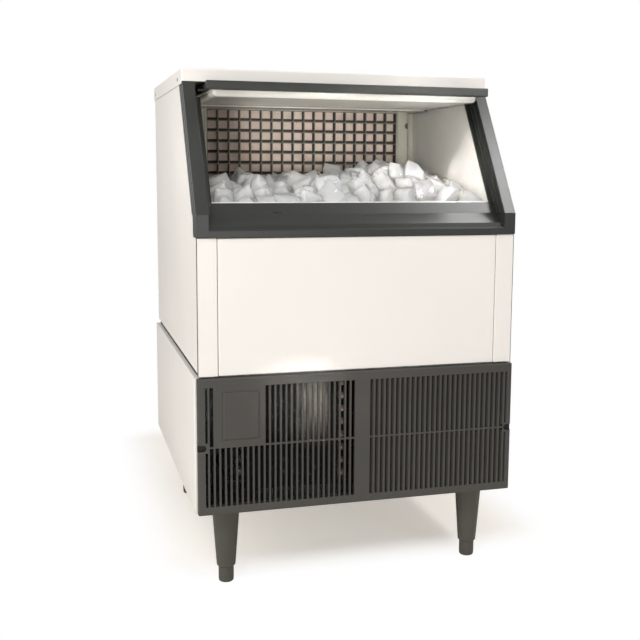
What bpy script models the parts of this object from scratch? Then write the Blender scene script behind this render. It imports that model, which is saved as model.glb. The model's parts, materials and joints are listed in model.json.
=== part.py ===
"""Undercounter ice machine: a slant-fronted insulated bin over a grilled machine compartment.

All sizes are metres. The pieces are modelled in the cabinet's own frame: x is 0 at the middle and
runs to the right, y is 0 at the grille's front face and runs to the back, z is 0 at the cabinet's base.
One empty carries that frame, so that the finished machine stands on the ground, centred on x = y = 0.
"""

import math

import bmesh
import bpy
from mathutils import Matrix, Vector

# Overall sizes
BODY_DEPTH = 0.668
BODY_HEIGHT = 0.813
LEG_HEIGHT = 0.1524
LOWER_WIDTH = 0.624
LOWER_HEIGHT = 0.254
UPPER_WIDTH = 0.612
TOP_WIDTH = 0.616
GRILLE_WIDTH = 0.616
FASCIA_HEIGHT = 0.0245
SKIRT_BOTTOM = 0.7838
TOP_FRONT = 0.162

# Sheet and moulding stock
SHEET = 0.0012
PAN_SHEET = 0.0015
WALL = 0.0025
LINER_WALL = 0.003
GAP = 0.0003

# Slanted door opening: its front plane runs through this point at this angle above the horizontal
SLOPE_ANGLE = math.radians(56.75)
SLOPE_FOOT = (0.003, 0.546)
JAMB_DEPTH = 0.045
JAMB_OUTER = 0.306
JAMB_INNER = 0.2832
JAMB_TOP = 0.7882
SEAT_INNER = 0.271
SEAT_DEPTH = 0.028
SEAT_BACK = 0.0315
SILL_BOTTOM = 0.5055
SILL_TOP = 0.565

# Front skin
PANEL_FRONT = 0.006
PANEL_BOTTOM = 0.257
PANEL_TOP = 0.5045
SEAM = 0.2685
SEAM_GAP = 0.001
RETURN_DEPTH = 0.0145

# Bin
BIN_HALF_WIDTH = 0.271
BIN_FRONT = 0.055
BIN_BACK = 0.630
BIN_FLOOR = 0.290
BIN_SIDE_TOP = 0.7592
BIN_FRONT_TOP = 0.5645
DRAIN_AT = (-0.150, 0.585)

# Door, held open under the top
DOOR_HALF_WIDTH = 0.275
DOOR_FRAME_HALF = 0.266
DOOR_RIM_HALF = 0.2632
DOOR_FRONT = 0.073
DOOR_BACK = 0.3719
DOOR_TOP = 0.784
DOOR_THICKNESS = 0.016
HANDLE_DEPTH = 0.018
PLUG_HALF_WIDTH = 0.2595
PLUG_FRONT = 0.092
PLUG_BACK = 0.360
PLUG_BOTTOM = 0.757
HINGE_AT = (0.3639, 0.7725)
GUIDE_AT = (0.1652, 0.7725)
PIN_RADIUS = 0.0025
PIN_HOLE_RADIUS = 0.0028
GLIDE_RADIUS = 0.006

# Evaporator
GRID_LEFT = -0.2128
GRID_TOP = 0.7555
GRID_FRONT = 0.476
GRID_COLUMNS = 18
GRID_ROWS = 12
COLUMN_PITCH = 0.02456
ROW_PITCH = 0.0237
DIVIDER = 0.0018
POCKET_DEPTH = 0.020
POCKET_RISE = 0.0065
GRID_BACK = 0.4985
COIL_END = 0.5636

# Grille
SLOT_PITCH = 0.01025
SLOTS = 28
LEFT_SLOTS_START = -0.2964
RIGHT_SLOTS_START = 0.0172
OPEN_SLOT = 0.0068
LOUVRE_SLOT = 0.0068
END_SLOT = 0.0046
LOUVRE_LEAN = 0.0058
GRILLE_FRONT = 0.0012
GRILLE_BACK = 0.0120
OPEN_SLAT_BACK = 0.0085
SLOT_ROWS = ((0.0155, 0.1250), (0.1280, 0.2372))
SCREW_ROWS = ((0.0155, 0.1170), (0.1356, 0.2372))

# Machine compartment
FAN_AT = (-0.125, 0.134)
COIL_LEFT = -0.2150
COIL_RIGHT = -0.0350
FAN_RADIUS = 0.088
COIL_RADIUS = 0.0048
COIL_ROWS = 8
COIL_PITCH = 0.0254
COIL_FIRST = 0.0450
COIL_LAYERS = (0.0480, 0.0640)
COIL_BEND = -0.0258
COMPRESSOR_AT = (0.130, 0.390)

# Legs
LEG_X = 0.2480
LEG_FRONT = 0.0635
LEG_BACK = 0.5900
LEG_BOTTOM = -0.1210
FOOT_RADIUS = 0.0147

# Places that several pieces share: (x, z, radius) on the back, then (x, z) of the refrigerant tubes' holes
WATER_INLET = (-0.2550, 0.1900, 0.0130)
DRAIN_OUTLET = (-0.1500, 0.0620, 0.0095)
LIQUID_HOLE = (-0.1828, 0.4951)
SUCTION_HOLE = (-0.1560, 0.7321)
CHASE_Y = 0.6440
SCREW_HEIGHTS = (0.5330, 0.6300, 0.7270)
PLATE_LOW = (-0.2622, 0.1396)
PLATE_HIGH = (-0.1947, 0.2276)
GRILLE_SCREW = (0.2985, 0.1263, 0.0058)


def clear_scene():
    """Removes whatever the file already holds."""
    for old in list(bpy.data.objects):
        bpy.data.objects.remove(old, do_unlink=True)


def linear(hex_colour):
    """A six-digit sRGB colour as linear RGBA."""
    values = [int(hex_colour[i : i + 2], 16) / 255 for i in (0, 2, 4)]
    return [v / 12.92 if v <= 0.04045 else ((v + 0.055) / 1.055) ** 2.4 for v in values] + [1.0]


def finish(name, hex_colour, roughness, metallic=0.0):
    """A plain material with the part's colour, roughness and metallic value."""
    made = bpy.data.materials.new(name)
    made.use_nodes = True
    shader = made.node_tree.nodes["Principled BSDF"]
    shader.inputs["Base Color"].default_value = linear(hex_colour)
    shader.inputs["Roughness"].default_value = roughness
    shader.inputs["Metallic"].default_value = metallic
    return made


def new_shape():
    """An empty mesh to model in."""
    return bmesh.new()


def solid(name, shape, material, origin=(0.0, 0.0, 0.0)):
    """Makes a named object of a shape modelled in the cabinet's frame, with its origin at a point."""
    bmesh.ops.recalc_face_normals(shape, faces=shape.faces)
    mesh = bpy.data.meshes.new(name)
    shape.to_mesh(mesh)
    shape.free()
    mesh.transform(Matrix.Translation(-Vector(origin)))
    if material:
        mesh.materials.append(material)
    piece = bpy.data.objects.new(name, mesh)
    piece.location = origin
    piece.parent = cabinet
    bpy.context.scene.collection.objects.link(piece)
    return piece


def change(piece, shape, operation, name):
    """Adds a boolean with a hidden helper object to a piece."""
    helper = solid(f"{piece.name}_{name}", shape, None)
    helper.hide_render = True
    helper.display_type = "WIRE"
    boolean = piece.modifiers.new(name, "BOOLEAN")
    boolean.operation = operation
    boolean.solver = "EXACT"
    boolean.object = helper


def cut(piece, shape, name):
    """Cuts a shape away from a piece."""
    change(piece, shape, "DIFFERENCE", name)


def add(piece, shape, name):
    """Welds a shape onto a piece."""
    change(piece, shape, "UNION", name)


def smooth(piece, angle=35):
    """Shades a round piece smooth, with its true edges kept sharp."""
    piece.data.shade_smooth()
    piece.data.set_sharp_from_angle(angle=math.radians(angle))
    return piece


def add_prism(shape, outline, axis, start, end):
    """Adds an extrusion of an outline, which holds the two coordinates across the axis, in x, y, z order."""
    index = "xyz".index(axis)

    def point(pair, along):
        values = list(pair)
        values.insert(index, along)
        return values

    verts = [shape.verts.new(point(pair, start)) for pair in outline]
    base = shape.faces.new(verts)
    grown = bmesh.ops.extrude_face_region(shape, geom=[base])["geom"]
    moved = [item for item in grown if isinstance(item, bmesh.types.BMVert)]
    step = Vector((0.0, 0.0, 0.0))
    step[index] = end - start
    bmesh.ops.translate(shape, verts=moved, vec=step)
    return shape


def prism(outline, axis, start, end):
    """An extrusion along x, y or z."""
    return add_prism(new_shape(), outline, axis, start, end)


def add_box(shape, low, high):
    """Adds a box between two corners."""
    outline = [(low[0], low[1]), (high[0], low[1]), (high[0], high[1]), (low[0], high[1])]
    return add_prism(shape, outline, "z", low[2], high[2])


def box(low, high):
    """A box between two corners."""
    return add_box(new_shape(), low, high)


def mirrored(outline, side):
    """An outline whose first coordinate is x, on the right for side 1 and on the left for side -1."""
    return [(side * point[0], point[1]) for point in outline]


def rounded(corners, steps=4):
    """An outline of (a, b, radius) corners, each with a radius above 0 drawn as an arc."""
    outline = []
    for i, (a, b, radius) in enumerate(corners):
        here = Vector((a, b))
        if radius <= 0:
            outline.append((a, b))
            continue
        before = Vector(corners[i - 1][:2]) - here
        after = Vector(corners[(i + 1) % len(corners)][:2]) - here
        before.normalize()
        after.normalize()
        half = before.angle(after) / 2
        centre = here + (before + after).normalized() * radius / math.sin(half)
        first = here + before * radius / math.tan(half) - centre
        last = here + after * radius / math.tan(half) - centre
        turn = first.angle_signed(last)
        for step in range(steps + 1):
            angle = -turn * step / steps
            arm = Matrix.Rotation(angle, 2) @ first
            outline.append(tuple(centre + arm))
    return outline


def add_turned(shape, profile, centre, axis="z", segments=24):
    """Adds a turned form to a shape.

    The profile's points are (radius, distance along the axis). It is a closed loop or ends on the axis.
    """
    index = "xyz".index(axis)
    across = [(index + 1) % 3, (index + 2) % 3]
    rings = []
    for radius, along in profile:
        if radius == 0:
            spot = list(centre)
            spot[index] += along
            rings.append([shape.verts.new(spot)])
            continue
        ring = []
        for step in range(segments):
            angle = 2 * math.pi * step / segments
            spot = list(centre)
            spot[index] += along
            spot[across[0]] += radius * math.cos(angle)
            spot[across[1]] += radius * math.sin(angle)
            ring.append(shape.verts.new(spot))
        rings.append(ring)
    open_ends = profile[0][0] == 0 and profile[-1][0] == 0
    pairs = list(zip(rings, rings[1:] if open_ends else rings[1:] + rings[:1]))
    for one, two in pairs:
        for step in range(segments):
            nxt = (step + 1) % segments
            corners = [one[step % len(one)], one[nxt % len(one)], two[nxt % len(two)], two[step % len(two)]]
            unique = list(dict.fromkeys(corners))
            shape.faces.new(unique)
    return shape


def turned(profile, centre, axis="z", segments=24):
    """A turned form."""
    return add_turned(new_shape(), profile, centre, axis, segments)


def cylinder(radius, start, end, centre, axis="z", segments=16):
    """A plain round bar, whose ends are distances along its axis from the centre."""
    return turned([(0, start), (radius, start), (radius, end), (0, end)], centre, axis, segments)


def pan(name, low, high, open_side, material, thickness=SHEET, radius=0.0015, steps=2):
    """A folded sheet tray: a box open on one side, such as '+y', with rounded edges and inward walls."""
    shape = box(low, high)
    index = "xyz".index(open_side[1])
    sign = 1 if open_side[0] == "+" else -1
    plane = high[index] if sign > 0 else low[index]
    lid = [f for f in shape.faces if all(abs(v.co[index] - plane) < 1e-6 for v in f.verts)]
    bmesh.ops.delete(shape, geom=lid, context="FACES_ONLY")
    edges = [e for e in shape.edges if not all(abs(v.co[index] - plane) < 1e-6 for v in e.verts)]
    bmesh.ops.bevel(shape, geom=edges, offset=radius, segments=steps, profile=0.5, affect="EDGES")
    tray = solid(name, shape, material)
    skin = tray.modifiers.new("sheet", "SOLIDIFY")
    skin.thickness = thickness
    skin.offset = -1
    skin.use_even_offset = True
    return tray


def arc_route(corners, bend, steps=3):
    """The centre line of a bent tube: straight runs between the corners, with a round bend at each."""
    points = [Vector(corners[0])]
    for before, here, after in zip(corners, corners[1:], corners[2:]):
        here = Vector(here)
        back = (Vector(before) - here).normalized()
        ahead = (Vector(after) - here).normalized()
        half = back.angle(ahead) / 2
        reach = bend / math.tan(half)
        centre = here + (back + ahead).normalized() * bend / math.sin(half)
        first = here + back * reach - centre
        last = here + ahead * reach - centre
        turn = first.angle(last)
        for step in range(steps + 1):
            share = step / steps
            arm = (first * math.sin((1 - share) * turn) + last * math.sin(share * turn)) / math.sin(turn)
            points.append(centre + arm)
    points.append(Vector(corners[-1]))
    return points


def tube(name, points, radius, material, sides=1):
    """A round tube along a line of points, as a beveled curve with filled ends."""
    curve = bpy.data.curves.new(name, "CURVE")
    curve.dimensions = "3D"
    curve.bevel_depth = radius
    curve.bevel_resolution = sides
    curve.use_fill_caps = True
    spline = curve.splines.new("POLY")
    spline.points.add(len(points) - 1)
    for target, point in zip(spline.points, points):
        target.co = (*point, 1.0)
    curve.materials.append(material)
    piece = bpy.data.objects.new(name, curve)
    piece.parent = cabinet
    bpy.context.scene.collection.objects.link(piece)
    return piece


def slope_point(along, proud):
    """(y, z) of a point at a distance up the opening's slanted plane, and one proud of that plane."""
    run, rise = math.cos(SLOPE_ANGLE), math.sin(SLOPE_ANGLE)
    return (SLOPE_FOOT[0] + along * run - proud * rise, SLOPE_FOOT[1] + along * rise + proud * run)


def slope_y(z, proud=0.0):
    """The y at which a line that distance proud of the slanted front plane reaches a height."""
    return SLOPE_FOOT[0] + (z - SLOPE_FOOT[1]) / math.tan(SLOPE_ANGLE) - proud / math.sin(SLOPE_ANGLE)


def build_top():
    """The painted top, folded down on all sides, and the foam slab under it."""
    half = TOP_WIDTH / 2
    low = (-half, TOP_FRONT, BODY_HEIGHT - FASCIA_HEIGHT)
    top = pan("top_panel", low, (half, BODY_DEPTH, BODY_HEIGHT), "-z", white_paint, radius=0.003, steps=3)
    for side in (-1, 1):
        sides = sorted((side * (half - SHEET), side * half))
        start = (sides[0], TOP_FRONT + 0.004, SKIRT_BOTTOM)
        skirt = box(start, (sides[1], BODY_DEPTH - 0.004, low[2] + 0.004))
        add(top, skirt, "left_skirt" if side < 0 else "right_skirt")
    slab_low, slab_high = BODY_HEIGHT - FASCIA_HEIGHT + 0.0007, BODY_HEIGHT - SHEET - GAP
    outline = [
        (0.170, slab_low),
        (0.600, slab_low),
        (0.600, BIN_SIDE_TOP + 0.001),
        (0.652, BIN_SIDE_TOP + 0.001),
        (0.652, slab_high),
        (0.170, slab_high),
    ]
    solid("top_insulation", prism(outline, "x", -0.3030, 0.3030), foam)


def build_side_skins():
    """The upper side panels, which follow the slanted front, and the lower ones, a little proud."""
    outer = UPPER_WIDTH / 2
    behind = -(JAMB_DEPTH + 0.0006)
    front = PANEL_FRONT + SHEET + GAP
    outline = [
        (front, LOWER_HEIGHT + 0.010),
        (front, SILL_BOTTOM - 0.0005),
        (0.0460, SILL_BOTTOM - 0.0005),
        (0.0460, SLOPE_FOOT[1] + (0.0460 - slope_y(SLOPE_FOOT[1], behind)) * math.tan(SLOPE_ANGLE)),
        (slope_y(0.806, behind), 0.806),
        (0.6562, 0.806),
        (0.6562, LOWER_HEIGHT + 0.010),
    ]
    for side, word in ((-1, "left"), (1, "right")):
        shape = new_shape()
        shape.faces.new([shape.verts.new((side * outer, y, z)) for y, z in outline])
        rear = [e for e in shape.edges if all(v.co.y > 0.656 for v in e.verts)]
        grown = bmesh.ops.extrude_edge_only(shape, edges=rear)["geom"]
        lip = [item for item in grown if isinstance(item, bmesh.types.BMVert)]
        bmesh.ops.translate(shape, verts=lip, vec=(-side * 0.014, 0.0, 0.0))
        panel = solid(f"{word}_upper_side_panel", shape, white_paint)
        skin = panel.modifiers.new("sheet", "SOLIDIFY")
        skin.thickness = SHEET
        skin.offset = -1
        skin.use_even_offset = True
        face = panel.data.polygons[0]
        if face.normal.x * side < 0:
            panel.data.flip_normals()
        near, far = side * (LOWER_WIDTH / 2 - 0.012), side * LOWER_WIDTH / 2
        low = (min(near, far), 0.012, 0.0)
        high = (max(near, far), BODY_DEPTH, LOWER_HEIGHT)
        open_side = "-x" if side > 0 else "+x"
        pan(f"{word}_lower_side_panel", low, high, open_side, white_paint)


def build_front_skins():
    """The white front panel between two folded corner posts."""
    low = (-SEAM + SEAM_GAP / 2, PANEL_FRONT, PANEL_BOTTOM)
    high = (SEAM - SEAM_GAP / 2, PANEL_FRONT + RETURN_DEPTH, PANEL_TOP)
    pan("front_panel", low, high, "+y", white_paint)
    seam, corner, front = SEAM + SEAM_GAP / 2, UPPER_WIDTH / 2, PANEL_FRONT
    outline = [
        (seam, front + RETURN_DEPTH),
        (seam, front + 0.0015),
        (seam + 0.0005, front + 0.0004),
        (seam + 0.0015, front),
        (corner - 0.0010, front),
        (corner, front + 0.0006),
        (corner, front + SHEET),
        (corner - SHEET - GAP, front + SHEET),
        (corner - SHEET - GAP, front + 0.0240),
        (corner - 2 * SHEET - GAP, front + 0.0240),
        (corner - 2 * SHEET - GAP, front + SHEET),
        (seam + SHEET, front + SHEET),
        (seam + SHEET, front + RETURN_DEPTH),
    ]
    for side, word in ((-1, "left"), (1, "right")):
        post = prism(mirrored(outline, side), "z", PANEL_BOTTOM, PANEL_TOP)
        solid(f"{word}_corner_post", post, white_paint)


def slot_outline(centre, length, width, steps=2):
    """An upright slot with round ends, as (x, z) points."""
    outline = []
    for end in (1, -1):
        for step in range(steps + 1):
            angle = math.pi * step / steps + (0 if end > 0 else math.pi)
            outline.append(
                (
                    centre[0] + width / 2 * math.cos(angle),
                    centre[1] + end * (length - width) / 2 + width / 2 * math.sin(angle),
                )
            )
    return outline


def build_rear_skins():
    """The plain upper back, and the lower service panel with its vent slots and service holes."""
    half = UPPER_WIDTH / 2
    low = (-half, 0.6565, LOWER_HEIGHT + 0.010)
    pan("rear_upper_panel", low, (half, BODY_DEPTH, 0.7875), "-y", white_paint)
    service = pan(
        "rear_service_panel",
        (-0.2996, 0.6560, 0.002),
        (0.2996, BODY_DEPTH - 0.0005, LOWER_HEIGHT + 0.006),
        "-y",
        galvanised,
    )
    openings = new_shape()
    for column in range(7):
        for z in (0.090, 0.170):
            centre = (column * 0.018 + 0.060, z)
            add_prism(openings, slot_outline(centre, 0.060, 0.007), "y", 0.650, 0.680)
    for x, z, radius in (WATER_INLET, DRAIN_OUTLET):
        add_turned(
            openings,
            [(0, -0.02), (radius + GAP, -0.02), (radius + GAP, 0.02), (0, 0.02)],
            (x, 0.6675, z),
            "y",
            16,
        )
    cut(service, openings, "openings")


def build_base():
    """The base pan and the deck that carries the bin."""
    pan("base_pan", (-0.2990, 0.018, 0.0), (0.2990, 0.6550, 0.014), "+z", galvanised, PAN_SHEET, 0.003)
    low, high = (-0.2990, 0.018, 0.2380), (0.2990, 0.6545, 0.2545)
    pan("compartment_deck", low, high, "-z", galvanised, PAN_SHEET, 0.003)


def jamb_outline():
    """The right jamb's section as (x, proud): front flange, door recess with two track ribs, and seat."""
    side_groove = 0.0008
    return [
        (JAMB_OUTER, -JAMB_DEPTH),
        (JAMB_OUTER, -0.0340),
        (JAMB_OUTER - side_groove, -0.0335),
        (JAMB_OUTER - side_groove, -0.0305),
        (JAMB_OUTER, -0.0300),
        (JAMB_OUTER, -0.0160),
        (JAMB_OUTER - side_groove, -0.0155),
        (JAMB_OUTER - side_groove, -0.0125),
        (JAMB_OUTER, -0.0120),
        (JAMB_OUTER, -0.0010),
        (JAMB_OUTER - 0.0010, 0.0),
        (JAMB_INNER + 0.0010, 0.0),
        (JAMB_INNER, -0.0010),
        (JAMB_INNER, -0.0106),
        (JAMB_INNER - 0.0042, -0.0112),
        (JAMB_INNER - 0.0042, -0.0128),
        (JAMB_INNER - 0.0012, -0.0134),
        (JAMB_INNER - 0.0012, -0.0172),
        (JAMB_INNER - 0.0066, -0.0178),
        (JAMB_INNER - 0.0066, -0.0194),
        (JAMB_INNER - 0.0024, -0.0200),
        (JAMB_INNER - 0.0024, -SEAT_DEPTH),
        (SEAT_INNER, -SEAT_DEPTH),
        (SEAT_INNER, -SEAT_BACK),
        (JAMB_INNER + WALL, -SEAT_BACK),
        (JAMB_INNER + WALL, -WALL),
        (JAMB_OUTER - WALL, -WALL),
        (JAMB_OUTER - WALL, -JAMB_DEPTH),
    ]


def build_jambs():
    """The two slanted door jambs, extruded along the slope and cut level at both ends."""
    low_z, high_z = SLOPE_FOOT[1] + GAP, JAMB_TOP
    track_y = -(WALL + GAP)
    for side, word in ((-1, "left"), (1, "right")):
        shape = new_shape()
        ends = []
        for z in (low_z, high_z):
            ends.append([shape.verts.new((side * x, slope_y(z, proud), z)) for x, proud in jamb_outline()])
        shape.faces.new(ends[0])
        shape.faces.new(ends[1])
        count = len(ends[0])
        for i in range(count):
            j = (i + 1) % count
            shape.faces.new((ends[0][i], ends[0][j], ends[1][j], ends[1][i]))
        jamb = solid(f"{word}_door_jamb", shape, dark_abs)
        sides = sorted((side * 0.2600, side * (JAMB_OUTER - WALL - GAP)))
        notch = [
            (slope_y(0.7600, track_y), 0.7600),
            (slope_y(0.7900, track_y), 0.7900),
            (0.300, 0.7900),
            (0.300, 0.7600),
        ]
        cut(jamb, prism(notch, "x", *sides), "track_notch")
        sides = sorted((side * 0.2600, side * (JAMB_INNER + 0.0030)))
        foot = SILL_TOP + GAP
        notch = [
            (slope_y(0.5400, -0.0218), 0.5400),
            (slope_y(foot, -0.0218), foot),
            (0.120, foot),
            (0.120, 0.5400),
        ]
        cut(jamb, prism(notch, "x", *sides), "sill_notch")


def build_sill():
    """The door sill: a stepped moulding with a ledge and a drip slope, and a block under each jamb."""
    front, back, bottom = SLOPE_FOOT[0] + 0.0003, BIN_FRONT - LINER_WALL - 0.0005, SILL_BOTTOM + 0.0003
    profile = [
        (front, bottom),
        (front, 0.5172),
        (front + 0.0030, 0.5203),
        (0.0120, 0.5203),
        (0.0135, 0.5275),
        (0.0365, 0.5450),
        (0.0488, 0.5645),
        (0.0500, SILL_TOP),
        (back, SILL_TOP),
        (back, bottom),
        (back - WALL, bottom),
        (back - WALL, 0.5588),
        (0.0385, 0.5425),
        (0.0155, 0.5250),
        (0.0145, 0.5178),
        (front + WALL, 0.5178),
        (front + WALL, bottom),
    ]
    sill = solid("door_sill", prism(profile, "x", -JAMB_INNER - 0.001, JAMB_INNER + 0.001), dark_abs)
    block = rounded(
        [
            (SLOPE_FOOT[0], SILL_BOTTOM, 0.002),
            (SLOPE_FOOT[0], SLOPE_FOOT[1], 0),
            (0.0450, SLOPE_FOOT[1], 0),
            (0.0450, SILL_BOTTOM, 0.012),
        ],
        4,
    )
    hollows = new_shape()
    for side, word in ((-1, "left"), (1, "right")):
        sides = sorted((side * (BIN_HALF_WIDTH + 0.0028), side * (JAMB_INNER + 0.0100)))
        add_box(hollows, (sides[0], 0.0453, 0.5000), (sides[1], 0.0600, 0.5700))
        sides = sorted((side * (JAMB_INNER + 0.0035), side * (JAMB_OUTER - WALL)))
        add_box(hollows, (sides[0], front + WALL, 0.5000), (sides[1], 0.0300, SLOPE_FOOT[1] - WALL))
        sides = sorted((side * (JAMB_INNER + 0.0005), side * JAMB_OUTER))
        add(sill, prism(block, "x", *sides), f"{word}_block")
    cut(sill, hollows, "hollows")


def build_tracks():
    """The level tracks for the door's upper glides, one at each side under the top."""
    z_low = HINGE_AT[1] - GLIDE_RADIUS - GAP
    z_high = HINGE_AT[1] + GLIDE_RADIUS + GAP
    wall = 0.0024
    inner, web, outer = 0.2815, 0.2925, JAMB_OUTER - WALL - 2 * GAP
    outline = [
        (inner, z_low - wall),
        (outer, z_low - wall),
        (outer, z_low),
        (web + 0.002, z_low),
        (web + 0.002, 0.7889),
        (web, 0.7889),
        (web, z_high + wall),
        (inner, z_high + wall),
        (inner, z_high),
        (web, z_high),
        (web, z_low),
        (inner, z_low),
    ]
    for side, word in ((-1, "left"), (1, "right")):
        track = solid(f"{word}_door_track", prism(mirrored(outline, side), "y", 0.1400, 0.3850), dark_abs)
        behind = -(WALL + 2 * GAP)
        nose = [
            (0.120, 0.7500),
            (slope_y(0.7500, behind), 0.7500),
            (slope_y(0.8000, behind), 0.8000),
            (0.120, 0.8000),
        ]
        cut(track, prism(nose, "x", -0.320, 0.320), "slanted_nose")


def build_door():
    """The door, swung up level and pushed back under the top: a dark frame, a white plug and two glides."""
    half, frame_half = DOOR_HALF_WIDTH, DOOR_FRAME_HALF
    hinge = (0.0, *HINGE_AT)
    inner_front = DOOR_FRONT + HANDLE_DEPTH
    outline = [
        (-half, DOOR_FRONT),
        (half, DOOR_FRONT),
        (half, inner_front),
        (frame_half, inner_front),
        (frame_half, DOOR_BACK),
        (-frame_half, DOOR_BACK),
        (-frame_half, inner_front),
        (-half, inner_front),
    ]
    shell = prism(outline, "z", DOOR_TOP - DOOR_THICKNESS, DOOR_TOP)
    corners = [v for v in shell.verts if abs(abs(v.co.x) - frame_half) < 1e-6 and v.co.y < 0.1]
    edges = [e for e in shell.edges if not all(v in corners for v in e.verts)]
    bmesh.ops.bevel(shell, geom=edges, offset=0.002, segments=2, profile=0.5, affect="EDGES")
    frame = solid("door_frame", shell, dark_abs, hinge)
    cavity_low = (-frame_half + WALL, inner_front, DOOR_TOP - DOOR_THICKNESS - 0.005)
    cut(frame, box(cavity_low, (frame_half - WALL, DOOR_BACK - WALL, DOOR_TOP - WALL)), "cavity")
    grip = rounded(
        [
            (DOOR_FRONT + 0.0045, DOOR_TOP - DOOR_THICKNESS - 0.004, 0),
            (DOOR_FRONT + 0.0045, DOOR_TOP - DOOR_THICKNESS + 0.006, 0.003),
            (DOOR_FRONT + 0.0140, DOOR_TOP - DOOR_THICKNESS + 0.006, 0.003),
            (DOOR_FRONT + 0.0140, DOOR_TOP - DOOR_THICKNESS - 0.004, 0),
        ],
        3,
    )
    cut(frame, prism(grip, "x", -half + 0.030, half - 0.030), "grip")
    holes = new_shape()
    for spot in (HINGE_AT, GUIDE_AT):
        rod = [(0, -0.3), (PIN_HOLE_RADIUS, -0.3), (PIN_HOLE_RADIUS, 0.3), (0, 0.3)]
        add_turned(holes, rod, (0.0, *spot), "x", 12)
    cut(frame, holes, "pin_holes")

    rim_low, rim_high = DOOR_TOP - DOOR_THICKNESS + GAP, DOOR_TOP - WALL - GAP
    rim_half = DOOR_RIM_HALF
    plug = box((-rim_half, inner_front + GAP, rim_low), (rim_half, DOOR_BACK - WALL - GAP, rim_high))
    bottom = min(plug.faces, key=lambda f: f.calc_center_median().z)
    lower = bmesh.ops.extrude_face_region(plug, geom=[bottom])["geom"]
    step = [v for v in lower if isinstance(v, bmesh.types.BMVert)]
    for v in step:
        v.co.x = math.copysign(PLUG_HALF_WIDTH, v.co.x)
        v.co.y = PLUG_FRONT if v.co.y < 0.2 else PLUG_BACK
        v.co.z -= 0.0005
    bmesh.ops.delete(plug, geom=[bottom], context="FACES_ONLY")
    top_face = [f for f in plug.faces if all(v in step for v in f.verts)]
    lower = bmesh.ops.extrude_face_region(plug, geom=top_face)["geom"]
    bmesh.ops.delete(plug, geom=top_face, context="FACES_ONLY")
    tip = [v for v in lower if isinstance(v, bmesh.types.BMVert)]
    for v in tip:
        v.co.z = PLUG_BOTTOM
    rim = [e for e in plug.edges if all(v in tip for v in e.verts)]
    uprights = [e for e in plug.edges if sum(v in tip for v in e.verts) == 1]
    bmesh.ops.bevel(plug, geom=rim + uprights, offset=0.008, segments=4, profile=0.5, affect="EDGES")
    inner = solid("door_plug", plug, white_plastic, hinge)
    for side, word in ((-1, "left"), (1, "right")):
        ends = sorted((side * (rim_half - 0.003), side * 0.2770))
        add(inner, cylinder(PIN_RADIUS, ends[0], ends[1], (0.0, *GUIDE_AT), "x", 12), f"{word}_guide_pin")
        y, z = HINGE_AT
        arc = [
            (y + GLIDE_RADIUS * math.cos(math.radians(a)), z + GLIDE_RADIUS * math.sin(math.radians(a)))
            for a in range(90, 271, 20)
        ]
        outline = arc + [(y + 0.017, z - GLIDE_RADIUS), (y + 0.017, z + GLIDE_RADIUS)]
        sides = sorted((side * 0.2832, side * 0.2918))
        glide = solid(f"{word}_door_glide", prism(outline, "x", *sides), nylon, (side * 0.2875, y, z))
        ends = sorted((side * (rim_half + 2 * GAP), side * 0.2850))
        add(glide, cylinder(PIN_RADIUS, ends[0], ends[1], (0.0, y, z), "x", 12), "hinge_pin")
    smooth(inner)


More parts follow.
